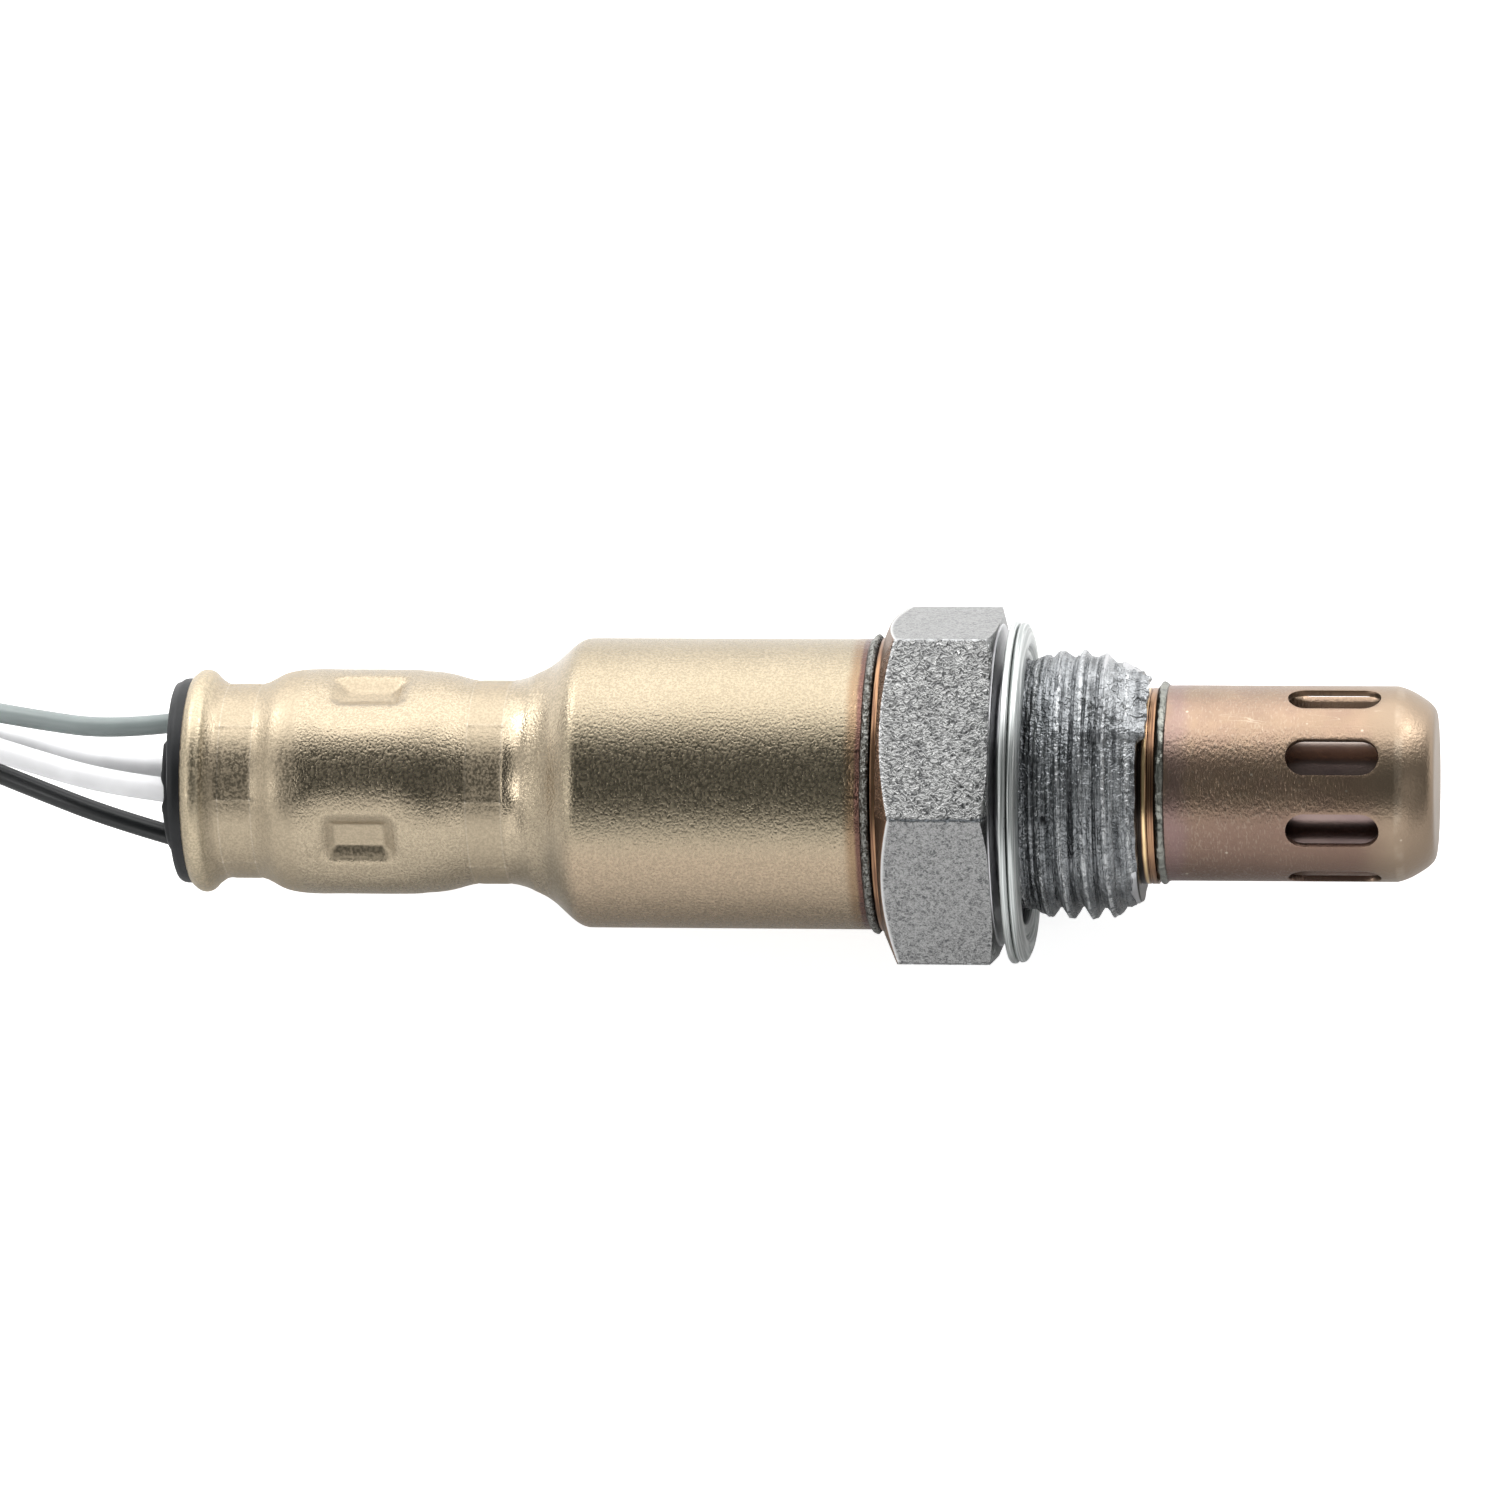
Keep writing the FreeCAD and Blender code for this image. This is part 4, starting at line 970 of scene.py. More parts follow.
@dataclass
class Shell:
    """Hexagon, and the turned front with its thread, neck and nose collar."""

    across_flats: float = 22.0
    rear: float = HEXAGON_REAR
    front: float = -0.15
    edge_break: float = 0.16
    seat_radius: float = 10.8
    neck_radius: float = 7.7
    crest: float = 8.97
    root: float = 8.08
    pitch: float = THREAD_PITCH
    crest_x: float = THREAD_CREST_X
    thread_start: float = 2.2
    thread_end: float = 9.4
    crest_flat: float = 0.14
    flank_share: float = 0.66
    lead_in_x: float = 7.15
    lead_in_slope: float = 0.60
    under_paste: float = 0.15
    collar_radius: float = 6.55
    collar_end: float = 10.47

    def thread_radius(self, x: float, turn: float) -> float:
        """Radius of the helical thread at a place along and about the axis."""
        phase = ((x + self.pitch * turn / 360 - self.crest_x) / self.pitch) % 1.0
        away = min(phase, 1 - phase) * 2
        flank = min(1.0, max(0.0, (away - self.crest_flat) / self.flank_share))
        radius = self.crest - (self.crest - self.root) * flank
        lead_in = self.crest + 0.1 - max(0.0, x - self.lead_in_x) * self.lead_in_slope
        run_out = self.neck_radius + max(0.0, x - self.thread_start)
        return max(min(radius, lead_in, run_out), self.neck_radius if x < 4 else self.root - 0.35)

    def bare(self, x: float, turn: float) -> float:
        """Mask of the thread's lead-in that the paste leaves bare."""
        return sector(turn, -97, 26, 6) * smooth_mask(x + 0.15 * ragged(turn), 8.93, 9.03)

    def hexagon(self, finishes: Finishes) -> None:
        """Makes the hexagon: a prism cut by the turned chamfers, with broken edges."""
        bm = bmesh.new()
        corner = self.across_flats / math.sqrt(3)
        made = bmesh.ops.create_cone(bm, cap_ends=True, cap_tris=False, segments=6, radius1=corner,
                                     radius2=corner, depth=self.front - self.rear)
        turn = Matrix.Rotation(math.radians(90), 4, "Y")
        middle = Matrix.Translation(((self.rear + self.front) / 2, 0, 0))
        bmesh.ops.transform(bm, matrix=middle @ turn, verts=made["verts"])
        prism = self._temporary(bm, "hexagon_prism")
        line = Line(self.rear, 0.0).to(self.rear, CHAMFER_RADIUS).to(self.rear + 1.16, corner + 0.4)
        line.to(self.front - 0.45, corner + 0.4).to(self.front, 11.45).to(self.front, 0.0)
        blank = self._temporary(spin(line.points, 240), "hexagon_blank")
        set_all(prism.modifiers.new("chamfers", "BOOLEAN"), operation="INTERSECT", object=blank, solver="EXACT")
        mesh = bpy.data.meshes.new_from_object(prism.evaluated_get(bpy.context.evaluated_depsgraph_get()))
        for helper in (prism, blank):
            bpy.data.objects.remove(helper)
        bm = bmesh.new()
        bm.from_mesh(mesh)
        bmesh.ops.remove_doubles(bm, verts=bm.verts, dist=0.002)
        bmesh.ops.dissolve_limit(bm, angle_limit=math.radians(0.6), verts=bm.verts, edges=bm.edges)
        keen = [e for e in bm.edges if len(e.link_faces) == 2 and e.calc_face_angle(0) > math.radians(12)
                and min(v.co.x for v in e.verts) > self.rear + 0.01
                and max(radius_of(v.co) for v in e.verts) > 10.6]
        bmesh.ops.bevel(bm, geom=keen, offset=self.edge_break, offset_type="OFFSET", affect="EDGES", segments=3,
                        profile=0.5, material=-1, clamp_overlap=True)
        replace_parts(finish_piece(bm, "shell_hexagon", [finishes.hexagon], 35), "shell")

    @staticmethod
    def _temporary(bm: bmesh.types.BMesh, name: str) -> bpy.types.Object:
        """Puts a mesh in a short-lived object for a cut."""
        helper = add_object(name, to_mesh(bm, name))
        bpy.context.view_layer.update()
        return helper

    def turned_front(self, finishes: Finishes) -> None:
        """Makes the seat, the neck, the thread and the nose collar."""
        line = Line(-0.6, 6.2).to(-0.6, self.seat_radius).to(-0.06, self.seat_radius)
        line.to(0.0, self.seat_radius - 0.08).to(0.0, self.neck_radius + 0.2, 0.8)
        line.arc((0.06, self.neck_radius + 0.06), (0.2, self.neck_radius), 3)
        line.to(self.thread_start, self.neck_radius, 0.5).to(self.thread_end, self.neck_radius, 0.085)
        line.to(self.thread_end, self.collar_radius, 0.3)
        line.to(self.collar_end - 0.55, self.collar_radius, 0.1).to(self.collar_end - 0.47, self.collar_radius - 0.05)
        line.to(self.collar_end - 0.40, self.collar_radius).to(self.collar_end, self.collar_radius, 0.1)
        line.to(self.collar_end, 6.12).to(11.45, 6.12).to(11.45, 5.32).to(8.85, 5.32).to(8.85, 4.4)
        line.to(-1.2, 4.4).to(-0.6, 5.0)
        bm = spin(line.points, 300, closed=True)
        for vert in bm.verts:
            co = vert.co
            if self.thread_start <= co.x <= self.thread_end and radius_of(co) > self.neck_radius - 0.05:
                turn = angle_of(co)
                set_radius(co, self.thread_radius(co.x, turn) - self.under_paste * (1 - self.bare(co.x, turn)))
        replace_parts(finish_piece(bm, "shell_front", [finishes.thread], 32), "shell")

    def weld_ring(self, finishes: Finishes) -> None:
        """Makes the boss behind the hexagon, whose edge shows as a copper ring."""
        line = Line(-18.7, 5.1).to(-18.7, 8.9).to(-18.4, 9.22).to(-8.08, 9.22, 3.0).to(-8.08, 9.76)
        line.arc((-8.03, 9.83), (-7.94, 9.86), 3).to(-7.6, 9.86, 0.2).to(-7.6, 6.2).to(-17.7, 6.2, 3.0).to(-17.7, 5.1)
        bm = spin(line.points, 180, closed=True)
        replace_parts(finish_piece(bm, "shell_boss", [finishes.thread], 35), "shell")


@dataclass(frozen=True)
class Groove:
    """Furrow that runs round the paste."""

    x: float
    depth: float
    half: float
    turn: float = -20.0
    reach: float = 60.0

    def depth_at(self, x: float, turn: float, waver: float) -> float:
        """Depth of the furrow at a place."""
        if abs(x - self.x) > 0.6:
            return 0.0
        along = sector(turn, self.turn, self.reach, 14.0)
        return self.depth * along * window(x + waver, self.x, self.half * 0.3, self.half)


@dataclass
class Paste:
    """Dried paste over the thread, smeared round it and ragged at its front."""

    shell: Shell
    start: float = 0.50
    end: float = 9.36
    crest: float = 8.93
    rings: int = 146
    steps: int = 400
    seed: Place = (3.7, 1.3, 8.1)
    grooves: tuple[Groove, ...] = (
        Groove(3.98, 0.20, 0.12, -10, 75), Groove(4.42, 0.14, 0.10, -30, 60), Groove(5.12, 0.26, 0.14, 0, 90),
        Groove(5.88, 0.20, 0.10, 10, 55), Groove(6.72, 0.24, 0.12, -15, 70), Groove(7.06, 0.14, 0.10, 20, 60),
        Groove(3.35, 0.12, 0.14, -50, 40), Groove(7.62, 0.08, 0.10, -30, 30), Groove(8.05, 0.07, 0.09, 15, 30),
        Groove(2.60, 0.16, 0.15, -45, 45), Groove(6.30, 0.10, 0.08, -60, 30), Groove(8.55, 0.05, 0.08, -25, 40))

    def fill(self, turn: float) -> float:
        """Share of the thread's depth that the paste fills, by angle."""
        near = sector(turn, -15, 35, 55)
        return 0.12 + 0.72 * near + 0.40 * sector(turn, 85, 30, 50)

    def level(self, x: float, turn: float) -> float:
        """Radius to which the paste levels the thread."""
        true = self.shell.thread_radius(x, turn)
        cap = self.crest - 0.95 * smooth_mask(x, 7.2, 9.4) - 0.40 * smooth_mask(x, 3.6, 1.8)
        share = self.fill(turn)
        if x > 7.9:
            share = max(share, 0.55 * sector(turn, 20, 85, 25))
        if x < 3.2:
            share = max(share, 0.72 - 0.35 * smooth_mask(x, 1.3, 0.5))
        return true + max(0.0, cap - true) * share

    def relief(self, x: float, turn: float, rough: float) -> float:
        """Height of the plate, crumbs, flake, lip and ridge."""
        height = 0.0
        plate = sector(turn, 9 + 4 * rough, 16, 2.5) * window(x + 0.10 * rough, 3.25, 0.80, 0.14)
        height += 0.24 * plate
        crumbs = sector(turn, 12, 8, 6) * window(x, 6.6, 0.7, 0.3)
        height += crumbs * (0.10 + 0.55 * max(0.0, rough))
        flake = sector(turn, 33, 23, 4)
        height += flake * window(x, 8.6, 0.75, 0.4) * (0.06 + 0.22 * rough)
        lip = sector(turn, 8, 3.0, 3.0) * window(x, 8.9, 1.1, 0.4)
        height += 0.34 * lip
        ridge = sector(turn, 9, 17, 6) * window(x, 6.17, 0.05, 0.16)
        return height + 0.14 * ridge

    def thickness(self, x: float, turn: float, co: Vector) -> float:
        """Height of the paste over its level, negative where it is rubbed off.

        Args:
            x: Place along the axis.
            turn: Angle about the axis in degrees.
            co: The place itself, for the noise.

        Returns:
            The height in millimetres.
        """
        shift = Vector(self.seed)
        rough = noise.fractal(co * 1.0 + shift, 0.7, 2.1, 4)
        grit = noise.noise(co * 4.0 + shift)
        streak = noise.noise(Vector((x * 3.4, co.y * 0.16, co.z * 0.16)) + shift)
        height = 0.060 + 0.045 * rough + 0.045 * grit + 0.095 * streak
        height += self.relief(x, turn, rough)
        waver = 0.06 * noise.noise(Vector((0.0, co.y * 0.5, co.z * 0.5)) + shift)
        for groove in self.grooves:
            height -= groove.depth_at(x, turn, waver)
        height -= 0.10 * sector(turn, -110, 30, 30)
        height -= 0.30 * sector(turn, 78, 22, 25) * smooth_mask(x, 6.2, 7.4)
        pit = math.hypot((x - 3.35) / 0.16, turn_between(turn, -34) / 1.5)
        return height - 0.40 * smooth_mask(pit, 1.2, 0.6)

    def build(self, finishes: Finishes) -> None:
        """Makes the paste as a closed crust that ends in the neck and at the thread's end."""
        step = (self.end - self.start) / self.rings
        line = Line(self.start, 7.3).to(self.start, 8.0).to(self.end, 8.0, step).to(self.end, 7.35)
        line.to(self.start, 7.3, 3.0)
        bm = spin(line.points[:-1], self.steps, closed=True)
        for vert in bm.verts:
            co = vert.co
            turn = angle_of(co)
            uneven = ragged(turn)
            if radius_of(co) > 7.9:
                radius = self.level(co.x, turn) + self.thickness(co.x, turn, co)
                set_radius(co, max(7.5, radius - 0.6 * self.shell.bare(co.x, turn)))
            flake = sector(turn, 28, 22, 3.5)
            grown = smooth_mask(co.x, 8.4, self.end)
            co.x += grown * (0.09 * uneven + flake * (0.62 + 0.16 * uneven))
            if flake > 0 and co.x > self.end and radius_of(co) < 7.5:
                set_radius(co, 7.35 + 0.25 * flake)
        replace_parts(finish_piece(bm, "thread_paste", [finishes.paste], 60), "shell")


@dataclass
class Gasket:
    """Ring folded from sheet, loose on the neck."""

    start: float = 0.66
    radius: float = 11.45
    inner: float = 8.8
    thickness: float = 1.28
    drop: Point = (-0.73, 0.63)
    steps: int = 240

    def build(self, finishes: Finishes) -> None:
        """Makes the rear flange, the groove and the rolled front."""
        rim, end = self.radius, self.thickness
        line = Line(0.0, self.inner).to(0.0, rim - 0.20, 0.8)
        line.arc((0.07, rim - 0.05), (0.22, rim), 5).arc((0.40, rim - 0.03), (0.49, rim - 0.17), 5)
        line.to(0.50, rim - 0.8).to(0.56, rim - 0.8)
        line.arc((0.60, rim - 0.20), (0.72, rim - 0.08), 5)
        line.arc((0.90, rim - 0.12), (1.06, rim - 0.34), 7).arc((end - 0.06, rim - 0.72), (end, rim - 1.12), 6)
        line.arc((end - 0.03, rim - 1.45), (end - 0.30, rim - 1.70), 6).to(end - 0.46, rim - 1.78)
        line.arc((end - 0.26, rim - 1.95), (end - 0.22, self.inner + 0.30), 5)
        line.arc((end - 0.30, self.inner + 0.06), (end - 0.50, self.inner), 4)
        bm = spin(line.points, self.steps, closed=True)
        for vert in bm.verts:
            turn = math.radians(angle_of(vert.co))
            if vert.co.x > 0.56:
                vert.co.x += 0.05 * math.sin(2 * turn + 0.6) + 0.03 * math.sin(5 * turn)
        bmesh.ops.translate(bm, vec=(self.start, *self.drop), verts=bm.verts)
        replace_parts(finish_piece(bm, "gasket_ring", [finishes.gasket], 50), "gasket")


@dataclass
class OuterShield:
    """Protection tube with eight slots, a rounded nose and a weld bead at its root."""

    radius: float = 6.53
    wall: float = 0.4
    start: float = 10.47
    slot_count: int = 8
    slot_width: float = 2.5
    slot_length: float = 6.2
    slot_x: float = 22.3
    slot_turn: float = -3.4
    patch_half: float = 4.1
    arc_points: int = 24
    nose_x: float = 29.0
    side_parts: int = 5
    patch_cuts: int = 5
    edge_width: float = 0.08
    bead_waver: float = 0.12
    shift: Point = (0.19, 0.07)

    def slot_loops(self) -> tuple[list[Point], list[Point]]:
        """Round-ended slot, unrolled, and the edge of its patch, point for point.

        Returns:
            The slot's points once round it, and the patch's points straight out from them.
        """
        half = (self.slot_length - self.slot_width) / 2
        r = self.slot_width / 2
        half_arc = self.radius * math.pi / self.slot_count
        slot, patch = [], []
        for side in (1, -1):
            for k in range(self.arc_points + 1):
                turn = -90 + 180 * k / self.arc_points
                over, up = r * math.cos(math.radians(turn)), r * math.sin(math.radians(turn))
                slot.append((side * (half + over), side * up))
                if abs(turn) <= 45:
                    patch.append((side * self.patch_half, side * half_arc * turn / 45))
                else:
                    reach = half + (self.patch_half - half) * (90 - abs(turn)) / 45
                    patch.append((side * reach, side * math.copysign(half_arc, turn)))
            for k in range(1, self.side_parts):
                x = side * (half - 2 * half * k / self.side_parts)
                slot.append((x, side * r))
                patch.append((x, side * half_arc))
        return slot, patch

    def patch(self, bm: bmesh.types.BMesh) -> None:
        """Makes one slot's sheet as a flat patch of x and arc length."""
        inner, outer = ([bm.verts.new((*spot, 0)) for spot in loop] for loop in self.slot_loops())
        edges = []
        for loop in (inner, outer):
            edges += [bm.edges.new(pair) for pair in zip(loop, loop[1:] + loop[:1])]
        bmesh.ops.bridge_loops(bm, edges=edges)
        across = [e for e in bm.edges if (e.verts[0] in inner) != (e.verts[1] in inner)]
        bmesh.ops.subdivide_edges(bm, edges=across, cuts=self.patch_cuts, use_grid_fill=True)

    def build(self, finishes: Finishes) -> None:
        """Rolls eight patches into a ring and draws the rest of the tube from its ends."""
        bm = bmesh.new()
        self.patch(bm)
        sheet = bm.verts[:] + bm.edges[:] + bm.faces[:]
        copies = [sheet] + [bmesh.ops.duplicate(bm, geom=sheet)["geom"] for _ in range(self.slot_count - 1)]
        pitch = TAU / self.slot_count
        for k, geometry in enumerate(copies):
            for vert in (g for g in geometry if isinstance(g, bmesh.types.BMVert)):
                turn = math.radians(self.slot_turn) + pitch * k + vert.co.y / self.radius
                x = self.slot_x + vert.co.x
                vert.co = (x, self.radius * math.sin(turn), self.radius * math.cos(turn))
        bmesh.ops.remove_doubles(bm, verts=bm.verts, dist=0.01)
        front = self.slot_x + self.patch_half
        nose = Line(front, self.radius).curve([(26.8, 6.42), (27.3, 6.22), (27.7, 6.00), (28.1, 5.75),
                                               (28.45, 5.50), (28.72, 5.24), (28.90, 4.96), (28.98, 4.62),
                                               (self.nose_x, 4.2), (self.nose_x, 3.2)], 0.12)
        nose.to(self.nose_x, 1.5, 0.6).to(self.nose_x, 0.3)
        bead = [(self.start + x, self.radius + high) for x, high in (
            (0.78, 0.0), (0.66, 0.03), (0.56, 0.15), (0.38, 0.22), (0.20, 0.15), (0.10, 0.03), (0.0, -0.05))]
        root = Line(self.slot_x - self.patch_half, self.radius).to(*bead[0], 0.8).curve(bead[1:], 0.08)
        for line in (nose, root):
            self.draw_on(bm, line.points)
        tip = [e for e in bm.edges if e.is_boundary and min(v.co.x for v in e.verts) > self.nose_x - 0.05]
        bmesh.ops.holes_fill(bm, edges=tip, sides=0)
        bmesh.ops.recalc_face_normals(bm, faces=bm.faces)
        for vert in bm.verts:
            on_bead = window(vert.co.x, self.start + 0.38, 0.25, 0.25)
            if on_bead:
                waver = noise.noise(vert.co * 1.7) * self.bead_waver * on_bead
                set_radius(vert.co, radius_of(vert.co) + waver)
        bmesh.ops.translate(bm, vec=(0.0, *self.shift), verts=bm.verts)
        piece = finish_piece(bm, "outer_shield_tube", [finishes.shield, finishes.slot_rim], 40)
        set_all(piece.modifiers.new("wall", "SOLIDIFY"), thickness=self.wall * MM, offset=-1.0, use_even_offset=True)
        set_all(piece.modifiers.new("edge", "BEVEL"), width=self.edge_width * MM, segments=2, material=1,
                limit_method="ANGLE", angle_limit=math.radians(50))
        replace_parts(piece, "outer_shield")

    @staticmethod
    def draw_on(bm: bmesh.types.BMesh, points: list[Point]) -> None:
        """Extends the tube from its open ring at the first point along an outline."""
        ring = [e for e in bm.edges if e.is_boundary and all(abs(v.co.x - points[0][0]) < 1e-3 for v in e.verts)]
        for x, radius in points[1:]:
            grown = bmesh.ops.extrude_edge_only(bm, edges=ring)["geom"]
            ring = [g for g in grown if isinstance(g, bmesh.types.BMEdge)]
            for vert in {v for e in ring for v in e.verts}:
                set_radius(vert.co, radius)
                vert.co.x = x


@dataclass
class Cord:
    """Round cord along a given route, in metres."""

    name: str
    route: list[Place]
    diameter: float
    resolution: int = 12
    rounding: int = 10

    def spline(self, bevel: bool = True) -> bpy.types.Object:
        """Smooth curve with the route's points as its control points."""
        curve = bpy.data.curves.new(self.name, "CURVE")
        set_all(curve, dimensions="3D", resolution_u=self.resolution, render_resolution_u=self.resolution)
        line = curve.splines.new("NURBS")
        line.points.add(len(self.route) - 1)
        for point, place in zip(line.points, self.route):
            point.co = (*place, 1.0)
        line.order_u = 3
        line.use_endpoint_u = True
        if bevel:
            set_all(curve, bevel_depth=self.diameter / 2, bevel_resolution=self.rounding, use_fill_caps=True)
        return add_object(self.name, curve)

    def length(self) -> float:
        """Length of the smooth line through the route."""
        points = self.followed()
        return sum((b - a).length for a, b in zip(points, points[1:]))

    def followed(self) -> list[Vector]:
        """Points of the smooth line, for pieces that follow it."""
        guide = self.spline(bevel=False)
        mesh = bpy.data.meshes.new_from_object(guide)
        points = [v.co.copy() for v in mesh.vertices]
        bpy.data.objects.remove(guide)
        return points


@dataclass
class Harness:
    """The four leads, the braided sleeve with its collar and tie, and the connector."""

    lead_start: float = -0.0557
    circle: float = 0.0040
    signal_diameter: float = 0.00135
    heater_diameter: float = 0.00165
    sleeve_diameter: float = 0.0050
    rest: float = -0.0074
    cross: float = -0.0020
    mouth_spread: float = 0.00118
    last_run: float = 0.0090
    sides: int = 28
    turns: dict[str, float] = field(default_factory=lambda: {"gray": 60.6, "white_a": 150.6, "black": -119.4,
                                                             "white_b": -29.4})

    def jackets(self) -> dict[str, Jacket]:
        """Jacket of each lead."""
        return {"gray": Jacket.GRAY, "white_a": Jacket.WHITE, "black": Jacket.BLACK, "white_b": Jacket.WHITE}

    def diameter(self, name: str) -> float:
        """Diameter of a lead, in metres."""
        return self.heater_diameter if name.startswith("white") else self.signal_diameter

    def seats(self) -> dict[str, tuple[float, float]]:
        """Radius in millimetres and angle of each lead in the grommet."""
        return {name: (self.diameter(name) / 2 / MM, turn) for name, turn in self.turns.items()}

    def sleeve_route(self) -> list[Place]:
        """Route of the sleeve from its mouth to the connector."""
        rest, cross = self.rest, self.cross
        return [(-0.0940, 0.0125, rest), (-0.1040, 0.01537, rest), (-0.1200, 0.0238, rest),
                (-0.1460, 0.0249, rest), (-0.1780, 0.0240, rest), (-0.21565, 0.0247, rest),
                (-0.2253, 0.0080, rest), (-0.21565, -0.0087, rest), (-0.1840, -0.0074, rest),
                (-0.1520, -0.0092, -0.0072), (-0.11835, -0.0087, -0.0054), (-0.1087, 0.0080, cross),
                (-0.11835, 0.0247, cross), (-0.1390, 0.0240, cross), (-0.1530, 0.0080, -0.0040),
                (-0.1690, 0.0080, -0.0040)]

    def lead_route(self, name: str) -> list[Place]:
        """Route of a lead from the grommet to the sleeve's mouth."""
        turn = math.radians(self.turns[name])
        across, up = math.sin(turn), math.cos(turn)
        route = [(self.lead_start, self.circle * across, self.circle * up)]
        middles = [(-0.0604, 0.00041, -0.0001), (-0.0660, 0.00213, -0.0009), (-0.0755, 0.00599, -0.0044)]
        for (x, y, z), spread in zip(middles, (0.00305, 0.00239, 0.00141)):
            route.append((x, y + spread * across, z + spread * up))
        mouth, following = (Vector(p) for p in self.sleeve_route()[:2])
        heading = (following - mouth).normalized()
        aside = heading.cross(Vector((0, 0, 1)))
        end = mouth + aside * self.mouth_spread * across + Vector((0, 0, self.mouth_spread * up))
        return route + [tuple(end - heading * self.last_run), tuple(end)]

    def leads(self, finishes: Finishes) -> None:
        for name, jacket in self.jackets().items():
            cord = Cord("lead_" + name + "_jacket", self.lead_route(name), self.diameter(name))
            piece = cord.spline()
            piece.data.materials.append(finishes.jackets[jacket])
            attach(piece, "root")
            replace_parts(piece, "lead_" + name)
            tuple(cord.route[0])
            cord.length()
            log.info("%s: %.1f mm", cord.name, cord.length() / MM)

    def sleeve(self, finishes: Finishes) -> None:
        cord = Cord("harness_sleeve_braid", self.sleeve_route(), self.sleeve_diameter)
        path = cord.followed()
        bm = bmesh.new()
        rings = []
        for k, point in enumerate(path):
            ahead = (path[min(k + 1, len(path) - 1)] - path[max(k - 1, 0)]).normalized()
            aside = ahead.cross(Vector((0, 0, 1))).normalized()
            top = aside.cross(ahead).normalized()
            ring = bmesh.ops.create_circle(bm, cap_ends=False, segments=self.sides,
                                           radius=cord.diameter / 2 / MM)["verts"]
            bmesh.ops.transform(bm, matrix=set_axes(point / MM, aside, top, ahead), verts=ring)
            rings.append(ring)
        for ring, following in zip(rings, rings[1:]):
            edges = [e for r in (ring, following) for e in {e for v in r for e in v.link_edges}
                     if all(v in r for v in e.verts)]
            bmesh.ops.bridge_loops(bm, edges=edges)
        bmesh.ops.holes_fill(bm, edges=[e for e in bm.edges if e.is_boundary], sides=0)
        bmesh.ops.recalc_face_normals(bm, faces=bm.faces)
        self.map_along(bm, rings, path)
        piece = finish_piece(bm, cord.name, [finishes.braid], 60)
        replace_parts(piece, "harness_sleeve")
        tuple(cord.route[0])
        cord.length()
        [tuple(p) for p in path]
        log.info("%s: %.1f mm", cord.name, cord.length() / MM)

    def map_along(self, bm: bmesh.types.BMesh, rings: list[list[bmesh.types.BMVert]],
                  path: list[Vector]) -> None:
        """Gives the tube a map of turn share and distance along it in metres."""
        layer = bm.loops.layers.uv.new("along")
        travelled = [0.0]
        for a, b in zip(path, path[1:]):
            travelled.append(travelled[-1] + (b - a).length)
        spots = {v: (k / self.sides, travelled[i]) for i, ring in enumerate(rings) for k, v in enumerate(ring)}
        for face in bm.faces:
            shares = [spots[loop.vert] for loop in face.loops]
            wraps = max(s[0] for s in shares) - min(s[0] for s in shares) > 0.5
            for loop, (share, along) in zip(face.loops, shares):
                loop[layer].uv = (share + 1.0 if wraps and share < 0.5 else share, along)

    def dress(self, finishes: Finishes) -> None:
        """Gives the harness's other pieces their materials."""
        dress_nodes({"sleeve_collar": finishes.rubber, "hank_tie": finishes.tie, "connector_boot": finishes.rubber,
                     "connector_housing": finishes.moulded, "connector_seal": finishes.silicone,
                     "connector_pins": finishes.tinned})


def dress_nodes(looks: dict[str, Material]) -> None:
    """Puts materials on the pieces that keep their solid's mesh."""
    for node, material in looks.items():
        materials = bpy.data.objects[node].data.materials
        materials.clear()
        materials.append(material)


@dataclass
class Inside:
    """Pieces that the shell and the cover hide."""

    def dress(self, finishes: Finishes) -> None:
        """Gives the inner pieces their materials."""
        ceramic = ("sensing_thimble", "heater_rod", "seal_insulator", "terminal_insulator")
        sheet = ("packing_washer", "crimp_ring", "inner_contact", "outer_contact", "heater_contacts",
                 "crimp_barrels")
        dress_nodes({"inner_shield": finishes.inner_shield, "talc_seal": finishes.talc,
                     **dict.fromkeys(ceramic, finishes.ceramic), **dict.fromkeys(sheet, finishes.sheet)})


